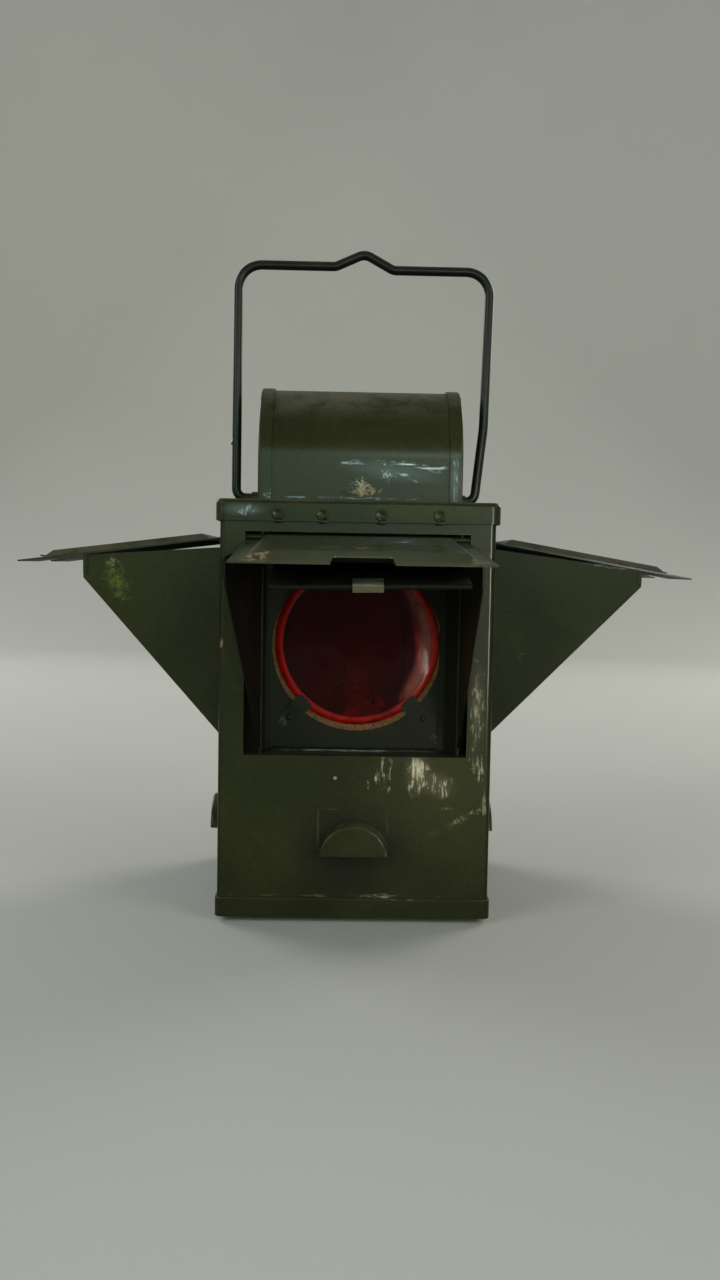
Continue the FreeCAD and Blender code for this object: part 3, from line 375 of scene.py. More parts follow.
class LampMetalSettings(bpy.types.PropertyGroup):
    """Colours of the bare metal and the wick."""
    tin: colour_property("Tin", "Tinned sheet of the font", (0.42, 0.42, 0.39))
    wire: colour_property("Wire", "Bare steel wire", (0.10, 0.095, 0.085))
    solder: colour_property("Solder", "Thinly painted solder", (0.16, 0.17, 0.14))
    brass: colour_property("Brass", "Brass of the burner", (0.52, 0.36, 0.13))
    tarnish: colour_property("Tarnish", "Brown tarnish on brass", (0.10, 0.06, 0.03))
    oil: colour_property("Oil", "Old oil on the wires", (0.035, 0.033, 0.027))
    rust: colour_property("Wire rust", "Specks of rust on the wires", (0.05, 0.024, 0.012))
    spangle: colour_property("Spangle", "Duller crystals in the tin", (0.30, 0.30, 0.29))
    stain: colour_property("Smoke stain", "Brown smoke on the tin", (0.11, 0.095, 0.075))
    clip: colour_property("Clip", "Brassy worn half of the shutter clip", (0.095, 0.078, 0.034))
    clip_paint: colour_property("Clip paint", "Paint left on the clip", (0.020, 0.022, 0.013))
    # a painted highlight along the clip's bend
    clip_highlight: colour_property("Clip bend", "Bright bend of the clip", (0.18, 0.16, 0.10))
    clip_scratch: colour_property("Clip scratch", "Scratches in the clip", (0.06, 0.048, 0.02))
    cotton: colour_property("Cotton", "Light threads of the wick", (0.72, 0.68, 0.58))
    thread: colour_property("Thread", "Oily threads of the wick", (0.50, 0.44, 0.32))
    char: colour_property("Char", "Burnt end of the wick", (0.012, 0.010, 0.009))


class LampGlassSettings(bpy.types.PropertyGroup):
    """Colours of the lenses and their rings."""
    red: colour_property("Red", "Glass of the front lens", (0.42, 0.012, 0.010))
    # each rim colour is a painted glow: opaque colour standing in for light caught in the thick
    # rim
    red_rim: colour_property("Red rim", "Thick rim of the front lens", (0.44, 0.007, 0.003))
    green: colour_property("Green", "Glass of the left lens", (0.03, 0.30, 0.12))
    green_rim: colour_property("Green rim", "Thick rim of the left lens", (0.02, 0.24, 0.09))
    clear: colour_property("Clear", "Glass of the right lens", (0.86, 0.90, 0.88))
    clear_rim: colour_property("Clear rim", "Thick rim of the right lens", (0.45, 0.52, 0.48))
    # a painted reflection: a pale gleam on the right of the red lens, shown as old scuffs
    crescent_gleam: colour_property("Scuff", "Old scuffs on the right of the red lens", (0.44, 0.15, 0.11))
    speck: colour_property("Speck", "Specks of dirt on the glass", (0.10, 0.05, 0.04))
    grime: colour_property("Ring grime", "Dark grime in the packing rings", (0.060, 0.032, 0.014))
    gasket: colour_property("Gasket", "Ring between lens and plate", (0.31, 0.105, 0.020))


class LampStageSettings(bpy.types.PropertyGroup):
    """Floor and lights round the lamp."""
    floor: colour_property("Floor", "Pale floor and backdrop", (0.47, 0.47, 0.43))
    radius: bpy.props.FloatProperty(name="Stage radius", description="Radius of the round floor",
                                    default=2.6, min=1.5, unit="LENGTH")
    window: power_property("Window light", "Power of the low green softbox", 5.5)
    pane: power_property("Pane light", "Power of the small bright softbox", 1.2)
    strip: power_property("Strip light", "Power of the near strip that shows as a gleam", 0.10)
    left: power_property("Left light", "Power of the softbox on the left", 14.0)
    right: power_property("Right light", "Power of the warm softbox on the right", 11.0)
    rear: power_property("Rear lights", "Power of each softbox behind", 20.0)
    back: power_property("Backdrop light", "Power of the wash on the backdrop", 6.0)
    sky: bpy.props.FloatProperty(name="Sky", description="Strength of the light from above",
                                 default=0.30, min=0.0)


def settings():
    """The scene's own settings of the lamp."""
    return bpy.context.scene.signal_lamp


class LampSettings(bpy.types.PropertyGroup):
    """All that can be changed on the lamp."""
    paint: bpy.props.PointerProperty(type=LampPaintSettings, name="Paint",
                                     description="Colours of the painted sheet")
    metal: bpy.props.PointerProperty(type=LampMetalSettings, name="Metal",
                                     description="Colours of the bare metal and the wick")
    glass: bpy.props.PointerProperty(type=LampGlassSettings, name="Glass",
                                     description="Colours of the lenses")
    stage: bpy.props.PointerProperty(type=LampStageSettings, name="Stage",
                                     description="Floor and lights")


# ---------------------------------------------------------------- old marks and painted light and shade

# One mark on the paint: its middle and its reach in mm, its turn against the clock, a colour
# of the paint settings, how strong it is, how much of it is bare (0 to 1) and its grain.
# A cover of 1 makes a smooth halo.
Mark = namedtuple("Mark", "place reach turn colour strength cover grain")

# how far a halo goes, how ragged a mark's border is and where it fades
HALO_REACH = 1.15
RAGGED = 3.2
RAGGED_FADE = (1.1, 0.5)

# the grain at which an uncovered mark starts, how much cover lowers that, and how it fades
GRAIN_START = 0.62
GRAIN_COVER = 0.30
GRAIN_FADE = 0.17

BODY_MARKS = (
    # a painted warm sheen on the lower right of the front, in the yellowed colour
    Mark((52.0, -75.0, 80.0), (32.0, 4.0, 44.0), 0, "faded", 0.55, 1.00, "blotch"),
    # painted shade round the front louvre
    Mark((-0.6, -75.0, 42.0), (32.0, 2.5, 30.0), 0, "soot", 0.75, 1.00, "blotch"),
    # painted glints and their sheen on the lower right of the front, shown as bare tin
    Mark((16.0, -75.0, 82.0), (6.0, 3.0, 10.0), -25, "bare", 0.85, 0.36, "upright"),
    Mark((35.0, -75.0, 84.0), (5.5, 3.0, 10.0), 0, "bare", 1.00, 0.52, "upright"),
    Mark((35.0, -75.0, 84.0), (9.0, 3.0, 14.0), 0, "bare", 0.12, 1.00, "upright"),
    Mark((46.0, -75.0, 77.5), (8.0, 3.0, 6.0), -20, "bare", 1.00, 0.46, "upright"),
    Mark((46.0, -75.0, 77.5), (11.0, 3.0, 9.0), -20, "bare", 0.10, 1.00, "blotch"),
    # painted glints on the right post, shown as bare tin
    Mark((66.5, -75.0, 121.0), (3.6, 3.0, 21.0), 0, "bare", 0.60, 0.50, "upright"),
    Mark((66.5, -75.0, 121.0), (6.0, 3.0, 27.0), 0, "bare", 0.09, 1.00, "upright"),
    # darker towards the bottom of the front
    Mark((0.0, -75.0, 0.0), (120.0, 6.0, 48.0), 0, "soot", 0.30, 1.00, "blotch"),
    # a painted glint on the right post, shown as bare tin
    Mark((67.5, -75.0, 90.5), (3.4, 3.0, 11.0), 12, "bare", 0.75, 0.50, "upright"),
    Mark((55.0, -75.0, 56.0), (20.5, 3.0, 2.6), 29, "faded", 1.00, 0.75, "blotch"),
    Mark((62.0, -75.0, 60.0), (10.0, 3.0, 1.8), 29, "bare", 0.40, 0.50, "speck"),
    Mark((46.0, -75.0, 65.0), (6.5, 3.0, 1.0), -6, "bare", 0.35, 0.55, "blotch"),
    # a painted glint low on the right post, shown as bare tin
    Mark((71.5, -75.0, 66.0), (1.6, 3.0, 12.0), 0, "bare", 0.45, 0.50, "upright"),
    Mark((-10.6, -75.0, 80.6), (1.2, 2.0, 1.2), 0, "bare", 0.95, 1.00, "blotch"),
    Mark((-73.7, -75.0, 154.0), (1.4, 2.5, 3.2), 0, "tan", 0.90, 0.80, "blotch"),
    # painted highlights along the band's top edge, shown as bare tin
    Mark((23.5, -75.0, 15.0), (12.0, 2.5, 1.4), 0, "bare", 0.40, 0.50, "level"),
    Mark((-6.0, -75.0, 15.0), (60.0, 2.5, 0.9), 0, "bare", 0.20, 0.45, "level"),
)
PAN_MARKS = (
    # painted highlights along the band's top edge, shown as bare tin
    Mark((24.0, -76.1, 13.4), (13.0, 2.0, 0.9), 0, "bare", 0.50, 0.45, "level"),
    Mark((4.0, -76.1, 9.0), (6.0, 2.0, 4.0), 10, "faded", 0.60, 0.60, "blotch"),
)
HOOD_MARKS = (
    Mark((3.5, -43.0, 240.5), (8.0, 5.0, 3.4), 0, "tan", 0.80, 0.75, "blotch"),
    Mark((3.0, -43.0, 243.0), (6.0, 5.0, 3.6), 0, "bare", 1.00, 0.38, "speck"),
    Mark((-6.0, -43.0, 238.0), (6.0, 4.0, 1.8), -14, "soot", 0.95, 1.00, "blotch"),
    # painted cold highlights: a window's reflection on the front of the hood, shown as polished
    # tin
    Mark((0.5, -43.0, 255.5), (15.0, 4.0, 2.0), 4, "cold", 0.80, 0.44, "level"),
    Mark((33.0, -43.0, 254.0), (18.0, 4.0, 2.4), -6, "cold", 1.00, 0.58, "level"),
    Mark((20.0, -43.0, 251.0), (34.0, 4.0, 7.0), -6, "cold", 0.13, 1.00, "level"),
    Mark((17.0, -43.0, 248.5), (4.0, 4.0, 5.0), 30, "cold", 1.00, 0.58, "speck"),
    Mark((22.0, -43.0, 251.0), (11.0, 4.0, 1.6), -28, "cold", 0.85, 0.52, "level"),
    # a painted highlight along the hood's foot
    Mark((0.0, -45.0, 235.4), (53.0, 6.0, 0.7), 0, "cold", 0.50, 0.55, "level"),
)
CAP_MARKS = (
    # painted highlights on the end caps, shown as polished tin
    Mark((55.0, -43.0, 246.0), (2.2, 5.0, 14.0), 0, "cold", 0.70, 0.50, "upright"),
    Mark((55.0, -43.0, 246.0), (3.4, 5.0, 17.0), 0, "cold", 0.14, 1.00, "upright"),
    Mark((-51.6, -43.0, 237.0), (2.8, 5.0, 2.4), 0, "cold", 0.70, 0.50, "speck"),
)
LID_MARKS = (
    # a painted reflection on a dent in the lid's skirt, shown as polished tin
    Mark((-60.0, -77.3, 226.0), (6.0, 4.0, 2.8), 10, "cold", 0.90, 0.50, "upright"),
    Mark((-62.0, -77.3, 226.4), (14.0, 4.0, 4.0), 0, "cold", 0.16, 1.00, "upright"),
    Mark((40.0, -77.3, 227.0), (34.0, 4.0, 5.0), 0, "faded", 0.50, 0.90, "blotch"),
)
FLAP_MARKS = (
    # painted highlights along the sides of the flap's plateau, in the rubbed colour
    Mark((-55.0, -140.0, 206.0), (4.0, 60.0, 16.0), 0, "rubbed", 0.55, 0.95, "blotch"),
    Mark((55.5, -140.0, 206.0), (4.0, 60.0, 16.0), 0, "rubbed", 0.55, 0.95, "blotch"),
    Mark((0.0, -184.0, 202.0), (90.0, 26.0, 16.0), 0, "rubbed", 0.50, 1.00, "blotch"),
    Mark((-50.5, -178.0, 201.5), (6.0, 9.0, 4.0), 0, "tan", 0.85, 0.80, "blotch"),
    Mark((52.5, -178.0, 201.5), (5.5, 9.0, 4.0), 0, "tan", 0.75, 0.80, "blotch"),
    # a painted highlight in the middle of the flap, in the tan colour
    Mark((0.5, -150.0, 205.5), (4.5, 7.0, 3.0), 0, "tan", 0.70, 0.60, "blotch"),
    # painted reflections on the top of the flap, shown as polished tin
    Mark((24.0, -112.0, 209.5), (5.5, 16.0, 3.0), 0, "cold", 0.70, 0.55, "blotch"),
    Mark((-15.0, -150.0, 205.5), (7.0, 10.0, 3.0), 0, "cold", 0.30, 0.50, "speck"),
)
CHEEK_MARKS = (
    # a painted yellow-green reflection on the left cheek
    Mark((-134.0, -75.0, 188.0), (7.0, 30.0, 17.0), 20, "moss", 0.80, 0.75, "blotch"),
    Mark((-136.0, -75.0, 197.0), (6.0, 30.0, 3.0), 0, "bare", 0.30, 0.45, "speck"),
    Mark((91.0, -65.0, 146.0), (6.5, 6.0, 11.0), 40, "bare", 0.30, 0.45, "speck"),
    Mark((120.0, -65.0, 203.0), (30.0, 8.0, 1.6), -9, "cold", 0.30, 0.55, "level"),
)
WINDOW_MARKS = (
    # painted highlights on the lens plate and its clips
    Mark((46.5, -50.0, 98.6), (5.0, 3.0, 2.6), -30, "cold", 0.60, 0.55, "speck"),
    Mark((-26.5, -54.0, 120.4), (2.6, 3.0, 2.0), 0, "bare", 0.45, 0.55, "speck"),
    Mark((30.6, -54.0, 118.4), (2.4, 3.0, 2.0), 0, "bare", 0.50, 0.60, "blotch"),
    Mark((37.0, -52.0, 115.4), (1.8, 3.0, 1.6), 0, "bare", 0.50, 0.60, "blotch"),
    Mark((-40.5, -52.0, 108.0), (2.0, 3.0, 2.2), 0, "bare", 0.30, 0.60, "speck"),
    # a painted highlight along the plate's lower lip
    Mark((0.0, -58.5, 93.6), (46.0, 2.0, 0.9), 0, "cold", 0.75, 0.55, "level"),
)


# ---------------------------------------------------------------- finishes

def grain_of(finish):
    """The grains that a mark can have."""
    upright = finish.stretched((1.0, 1.0, 0.16))
    level = finish.stretched((0.16, 1.0, 1.0))
    return {
        "edge": finish.noise(130.0, 4.0, 0.6, 0.8),
        "speck": finish.noise(620.0, 3.0, 0.7, 0.6),
        "blotch": finish.noise(260.0, 5.0, 0.65, 0.4),
        "upright": finish.noise(700.0, 4.0, 0.7, 0.3, upright),
        "level": finish.noise(560.0, 4.0, 0.7, 0.3, level),
    }


def marked(finish, colour, chosen, marks):
    """Adds each mark to a colour, and gives the colour and the share of bare tin, painted glints
    and painted sheen.
    """
    grains = grain_of(finish)
    bare = 0.0
    for mark in marks:
        grain = grains[mark.grain]
        away = finish.from_place(mark.place, mark.reach, mark.turn)
        if mark.cover == 1.0:
            share = mark.strength * finish.step(away, HALO_REACH, 0.0)
        else:
            ragged = away + RAGGED * (grains["edge"] - 0.5)
            start = GRAIN_START - GRAIN_COVER * mark.cover
            share = mark.strength * finish.step(ragged, *RAGGED_FADE) \
                * finish.step(grain, start, start + GRAIN_FADE)
        colour = finish.mix(colour, solid(getattr(chosen, mark.colour)), share)
        # bare and polished-tin marks are mostly painted glints and reflections; they also make the
        # sheet a little metallic
        if mark.colour in ("bare", "cold"):
            bare = finish.larger(bare, share)
    return colour, bare


def plate_print(finish):
    """The edge of the baffle behind the front louvre, telegraphed through the sheet."""
    across = finish.size_of(finish.axis("X") - PRINT_CENTRE[0]) * (1 / PRINT_HALF[0])
    up = finish.size_of(finish.axis("Z") - PRINT_CENTRE[1]) * (1 / PRINT_HALF[1])
    border = finish.size_of(finish.larger(across, up) - 1)
    front = finish.step(finish.axis("Y"), -SHELL_HALF + 0.0005, -SHELL_HALF + 0.0001)
    wear_and_gleam = finish.step(finish.noise(140.0, 4.0), 0.38, 0.60)
    return finish.step(border, *PRINT_LINE) * front * wear_and_gleam


def enamel(name, base="paint", marks=(), soot=0.0, dust=0.65, coat=0.20, rough=0.30,
           polish=0.14, inner_shade=0.50, printed=False):
    """Glossy enamel on tinplate: yellowed patches, dust on top, rubbed edges, chips, marks, and
    painted shade inside the shell, under the sheet and on pieces set in shadow.
    """
    chosen = settings().paint
    finish = Finish(name)
    patches = finish.step(finish.noise(13.0, 5.0, 0.6, 0.4), 0.42, 0.66)
    colour = finish.mix(solid(getattr(chosen, base)), solid(chosen.faded), 0.38 * patches)
    mottle = finish.step(finish.noise(420.0, 3.0, 0.6), 0.40, 0.70)
    colour = finish.mix(colour, solid(chosen.grime), 0.35 * mottle)

    up = finish.facing_up()
    dusty = finish.step(up, 0.45, 0.90) * finish.step(finish.noise(60.0, 6.0, 0.7), 0.32, 0.60)
    colour = finish.mix(colour, solid(chosen.dust), dust * dusty)

    edge = finish.step(finish.edges(0.0009), 0.08, 0.34)
    rubbed = edge * finish.step(finish.noise(170.0, 5.0, 0.7), 0.44, 0.60)
    colour = finish.mix(colour, solid(chosen.rubbed), 0.50 * rubbed)

    spots = finish.step(finish.noise(85.0, 7.0, 0.72, 0.6), 0.742, 0.760)
    nicks = edge * finish.step(finish.noise(240.0, 4.0, 0.7), 0.62, 0.65)
    chips = finish.larger(spots, nicks)
    colour = finish.mix(colour, solid(chosen.rust), chips)
    flecks = finish.step(finish.noise(1500.0, 1.0), 0.80, 0.84)
    colour = finish.mix(colour, solid(chosen.rubbed), 0.5 * flecks)
    colour, bare = marked(finish, colour, chosen, marks)
    lines = plate_print(finish) if printed else 0.0
    colour = finish.mix(colour, solid(chosen.rubbed), 0.30 * lines)

    # painted shade: darker inside the shell below the lid, under the sheet, and all over by the
    # piece's own share
    wide = finish.larger(finish.size_of(finish.axis("X")), finish.size_of(finish.axis("Y")))
    inside = finish.step(wide, SHELL_HALF - 0.0002, SHELL_HALF - 0.0006) \
        * finish.step(finish.axis("Z"), LID_LOW, LID_LOW - 0.0005)
    under = finish.step(up, -0.15, -0.55)
    smoked = finish.larger(finish.larger(under * UNDER_SHADE, inside * inner_shade), soot)
    colour = finish.mix(colour, solid(chosen.soot), smoked)

    height = finish.noise(17.0, 1.0, 0.4) * (chosen.dents / MILLIMETRE) \
        + finish.noise(75.0, 2.0, 0.5) * 0.10 + finish.noise(900.0, 1.0, 0.5) * 0.004 \
        + bare * 0.03 - chips * 0.05 + lines * 0.12
    gloss = rough + 0.10 * patches + dust * 0.40 * dusty + 0.25 * chips - 0.08 * bare \
        + 0.25 * smoked
    return finish.surface(Base_Color=colour, Roughness=gloss, Normal=finish.bump(height),
                          Metallic=0.35 * bare, Coat_Weight=coat * (1 - smoked),
                          Coat_Roughness=polish, Specular_IOR_Level=0.10)


def steel(name):
    """Drawn steel wire with a film of old oil and specks of rust."""
    chosen = settings().metal
    finish = Finish(name)
    tone = finish.step(finish.noise(120.0, 4.0, 0.6), 0.35, 0.7)
    rust = finish.step(finish.noise(210.0, 5.0, 0.7), 0.60, 0.70)
    base = finish.mix(solid(chosen.wire), solid(chosen.oil), tone)
    base = finish.mix(base, solid(chosen.rust), 0.7 * rust)
    height = finish.noise(900.0, 2.0) * 0.01
    return finish.surface(Base_Color=base, Metallic=0.9 - 0.6 * rust,
                          Roughness=0.36 + 0.2 * tone + 0.2 * rust, Normal=finish.bump(height))


def solder_skin(name):
    """Lumpy solder with paint worn thin on its crests."""
    finish = Finish(name)
    tone = finish.step(finish.noise(380.0, 4.0, 0.65), 0.42, 0.62)
    base = finish.mix(solid(settings().paint.paint), solid(settings().metal.solder), tone)
    height = finish.noise(500.0, 3.0, 0.6) * 0.06
    return finish.surface(Base_Color=base, Metallic=0.45 * tone, Roughness=0.22 + 0.12 * tone,
                          Coat_Weight=0.4, Coat_Roughness=0.08, Normal=finish.bump(height))


def clip_brass(name):
    """The shutter's clip: dark paint above, worn to a brassy tin below, with a painted highlight
    at its bend.
    """
    chosen = settings().metal
    finish = Finish(name)
    low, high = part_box("shutter_clip")
    up = (finish.axis("Z") - low.z) * (1 / (high.z - low.z)) \
        + 0.10 * (finish.noise(300.0, 4.0, 0.7) - 0.5)
    wear_and_gleam = finish.step(up, 0.56, 0.48)
    # a painted highlight along the bend
    bend_highlight = finish.step(finish.size_of(up - 0.50), 0.07, 0.02)
    base = finish.mix(solid(chosen.clip_paint), solid(chosen.clip), wear_and_gleam)
    base = finish.mix(base, solid(chosen.clip_highlight), 0.8 * bend_highlight)
    scratch = finish.noise(500.0, 4.0, 0.7, 0.0, finish.stretched((0.1, 1.0, 1.0)))
    base = finish.mix(base, solid(chosen.clip_scratch), 0.6 * finish.step(scratch, 0.50, 0.62))
    return finish.surface(Base_Color=base, Metallic=0.25 * wear_and_gleam,
                          Roughness=0.30 + 0.15 * finish.step(scratch, 0.4, 0.6),
                          Normal=finish.bump(scratch * 0.02))


def tin(name):
    """Dull tinned sheet with soft spangles and smoke stains."""
    chosen = settings().metal
    finish = Finish(name)
    spangle = finish.cells(120.0, "Color")
    tone = finish.node("ShaderNodeSeparateXYZ", None, {"Vector": spangle}, "X")
    stain = finish.step(finish.noise(60.0, 6.0, 0.65), 0.45, 0.70)
    base = finish.mix(solid(chosen.tin), solid(chosen.spangle), tone)
    base = finish.mix(base, solid(chosen.stain), 0.6 * stain)
    height = finish.noise(420.0, 3.0) * 0.01
    return finish.surface(Base_Color=base, Metallic=0.95 - 0.5 * stain,
                          Roughness=0.28 + 0.14 * tone + 0.25 * stain, Normal=finish.bump(height))


def brass(name):
    """Spun brass gone brown in patches."""
    chosen = settings().metal
    finish = Finish(name)
    patch = finish.step(finish.noise(90.0, 6.0, 0.65, 0.3), 0.40, 0.66)
    base = finish.mix(solid(chosen.brass), solid(chosen.tarnish), 0.85 * patch)
    rings = finish.noise(60.0, 3.0, 0.6, 0.0, finish.stretched((1.0, 1.0, 14.0)))
    height = finish.noise(700.0, 2.0) * 0.008 + rings * 0.01
    return finish.surface(Base_Color=base, Metallic=1.0 - 0.35 * patch,
                          Roughness=0.24 + 0.28 * patch, Normal=finish.bump(height))


def cotton(name):
    """Woven flat wick, charred at its top."""
    chosen = settings().metal
    finish = Finish(name)
    weave = finish.waves("Z", 380.0, 1.2) * finish.waves("X", 300.0, 0.8)
    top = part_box("wick")[1].z
    char = finish.step(finish.axis("Z") + 0.004 * finish.noise(300.0), top - 0.003, top + 0.002)
    base = finish.mix(solid(chosen.thread), solid(chosen.cotton), weave)
    base = finish.mix(base, solid(chosen.char), char)
    return finish.surface(Base_Color=base, Roughness=0.95, Normal=finish.bump(weave * 0.15))


def lens_glass(name, node, axes, colour, rim, crescent_gleam=0.0):
    """Pressed coloured glass: clear in the middle, with a painted glow in its thick rounded rim
    and inside, and a painted gleam on one side.
    """
    chosen = settings().glass
    finish = Finish(name)
    low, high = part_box(node)
    centre = (low + high) / 2
    places = {"X": centre.x, "Y": centre.y, "Z": centre.z}
    radius = (high.z - low.z) / 2
    out = finish.from_axis(axes, [places[axis] for axis in axes])
    smear = finish.step(finish.noise(45.0, 5.0, 0.6, 1.2), 0.50, 0.74)
    speck = finish.step(finish.noise(700.0, 3.0, 0.6), 0.72, 0.78)
    side = finish.axis(axes[0]) - places[axes[0]]
    across = finish.size_of(side)
    crown = 1 - (across * (1 / radius)) ** 2.0
    height = LENS_CROWN * crown + finish.noise(32.0, 2.0) * 0.55 + speck * 0.01
    normal = finish.bump(height)
    clear = finish.node("ShaderNodeBsdfPrincipled", None, {
        "Base Color": finish.mix(solid(colour), solid(chosen.speck), 0.35 * speck),
        "Roughness": 0.03 + 0.06 * smear + 0.25 * speck, "Transmission Weight": 1.0,
        "IOR": LENS_IOR, "Normal": normal})
    up = finish.axis("Z") - centre.z
    inner = radius - RIM_WIDTH
    thick = finish.step(out, inner - RIM_FADE, inner + RIM_FADE)
    # a painted gleam on the right, from the rim inwards, standing in for a reflection
    wear_and_gleam = finish.step(out, inner - GLEAM_RING[0], inner - GLEAM_RING[1]) \
        * finish.step(side, *GLEAM_SIDE) \
        * finish.step(finish.noise(45.0, 2.0, 0.5), 0.20, 0.62) * crescent_gleam * (1 - 0.85 * thick)
    # the rim's painted glow: opaque colour standing in for light caught in the thick glass
    body = finish.mix(solid(rim), dimmed(rim, RIM_CLOUD),
                      finish.step(finish.noise(120.0, 4.0), 0.45, 0.70))
    glow = finish.node("ShaderNodeBsdfPrincipled", None, {
        "Base Color": finish.mix(body, solid(chosen.crescent_gleam), wear_and_gleam),
        "Roughness": 0.14 + 0.10 * smear, "Coat Weight": 0.05, "Coat Roughness": 0.03,
        "Specular IOR Level": 0.2, "Normal": normal})
    # a painted glow of the lit inside seen through the glass: low down, high up and in a column
    # below the middle
    column = finish.step(across, *COLUMN_SIDE) * finish.step(up, *COLUMN_TOP)
    painted_glow = finish.step(up, *GLOW_LOW) * 0.020 + finish.step(up, *GLOW_HIGH) * 0.012 \
        + column * 0.035
    glow_share = painted_glow * (0.5 + finish.noise(60.0, 3.0)) + 0.028
    finish.node_output(finish.node("ShaderNodeMixShader", None, {
        0: finish.larger(finish.larger(thick, glow_share), 0.75 * wear_and_gleam), 1: clear, 2: glow}))
    return finish.material


def ring_felt(name, colour):
    """Hard old packing ring, tan with dark grime."""
    finish = Finish(name)
    tone = finish.noise(1100.0, 4.0, 0.7)
    grime = 0.95 * finish.step(tone, 0.46, 0.58)
    base = finish.mix(solid(colour), solid(settings().glass.grime), grime)
    return finish.surface(Base_Color=base, Roughness=0.75 + 0.2 * tone,
                          Normal=finish.bump(finish.noise(700.0, 3.0) * 0.12))


def floor_cloth(name, colour):
    """Matt pale floor with a faint mottle."""
    finish = Finish(name)
    mottle = finish.noise(3.0, 3.0)
    base = finish.mix(solid(colour), dimmed(colour, FLOOR_MOTTLE), mottle)
    return finish.surface(Base_Color=base, Roughness=0.9, Specular_IOR_Level=0.2)


# ---------------------------------------------------------------- shapes

def new_piece(name, mesh, body, material):
    """A finished piece that rides on a body; its place is in its mesh."""
    bmesh.ops.recalc_face_normals(mesh, faces=mesh.faces)
    data = bpy.data.meshes.new(name)
    mesh.to_mesh(data)
    mesh.free()
    piece = bpy.data.objects.new(name, data)
    bpy.context.scene.collection.objects.link(piece)
    for face in data.polygons:
        face.use_smooth = True
    data.materials.append(material)
    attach(piece, body)
    return piece


def give(node, material):
    """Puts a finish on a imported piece."""
    piece = frame["nodes"][node]
    piece.data.materials.clear()
    piece.data.materials.append(material)


def turned(mesh, outline, steps):
    """Spins an outline of (radius, height) points in mm about Y; its face looks towards -Y."""
    points = [mesh.verts.new((radius * MILLIMETRE, -height * MILLIMETRE, 0.0))
              for radius, height in outline]
    lines = [mesh.edges.new(pair) for pair in zip(points, points[1:])]
    bmesh.ops.spin(mesh, geom=points + lines, axis=(0.0, 1.0, 0.0), cent=ORIGIN,
                   steps=steps, angle=FULL_TURN, use_merge=True)


def in_metres(sizes):
    """Sizes in mm given in metres."""
    return [value * MILLIMETRE for value in sizes]


def ball(mesh, size, place, lean=0.0):
    """Adds a ball with half sizes in mm, leaned over about Y and set at its place."""
    verts = bmesh.ops.create_icosphere(mesh, subdivisions=BALL_STEPS, radius=1.0)["verts"]
    bmesh.ops.scale(mesh, vec=in_metres(size), verts=verts)
    bmesh.ops.rotate(mesh, cent=ORIGIN, verts=verts, matrix=Matrix.Rotation(lean, 3, "Y"))
    bmesh.ops.translate(mesh, vec=place, verts=verts)


def crimp(place, tail, turn):
    """A punched dimple with a raised rim and a bead of solder, turned about the lamp's middle."""
    mesh = bmesh.new()
    turned(mesh, CRIMP_OUTLINE, CRIMP_STEPS)
    bmesh.ops.remove_doubles(mesh, verts=mesh.verts, dist=MERGE_REACH)
    ball(mesh, BEAD_SIZE, in_metres(BEAD_PLACE))
    ball(mesh, DRIP_SIZE, (0.0, 0.0, -tail))
    bmesh.ops.translate(mesh, vec=place, verts=mesh.verts)
    bmesh.ops.rotate(mesh, cent=ORIGIN, verts=mesh.verts,
                     matrix=Matrix.Rotation(math.radians(turn), 3, "Z"))
    return mesh


def joined(meshes):
    """One bmesh of several."""
    whole = bmesh.new()
    for mesh in meshes:
        data = bpy.data.meshes.new("scratch")
        mesh.to_mesh(data)
        mesh.free()
        whole.from_mesh(data)
        bpy.data.meshes.remove(data)
    return whole


def bead_along(start, end, radius):
    """A lumpy half-sunk bead of solder from one point to another along X."""
    mesh = bmesh.new()
    length = end.x - start.x
    ring = bmesh.ops.create_circle(mesh, segments=SOLDER_SIDES, radius=radius)["verts"]
    bmesh.ops.rotate(mesh, cent=ORIGIN, verts=ring,
                     matrix=Matrix.Rotation(math.radians(90.0), 3, "Y"))
    bmesh.ops.translate(mesh, vec=start, verts=ring)
    edges = list(mesh.edges)
    for number in range(SOLDER_STEPS):
        grown = bmesh.ops.extrude_edge_only(mesh, edges=edges)["geom"]
        verts = [item for item in grown if isinstance(item, bmesh.types.BMVert)]
        edges = [item for item in grown if isinstance(item, bmesh.types.BMEdge)]
        bmesh.ops.translate(mesh, vec=(length / SOLDER_STEPS, 0.0, 0.0), verts=verts)
        centre = Vector((start.x + length * (number + 1) / SOLDER_STEPS, start.y, start.z))
        wave = 1.0 + SOLDER_WAVE * (math.sin(SOLDER_LUMPS[0] * number)
                                    * math.sin(SOLDER_LUMPS[1] * number + 1.0))
        for vert in verts:
            reach = (vert.co - centre).normalized() * radius * wave
            vert.co = centre + reach
    bmesh.ops.holes_fill(mesh, edges=[edge for edge in mesh.edges if edge.is_boundary],
                         sides=SOLDER_SIDES)
    return mesh


# ---------------------------------------------------------------- operators

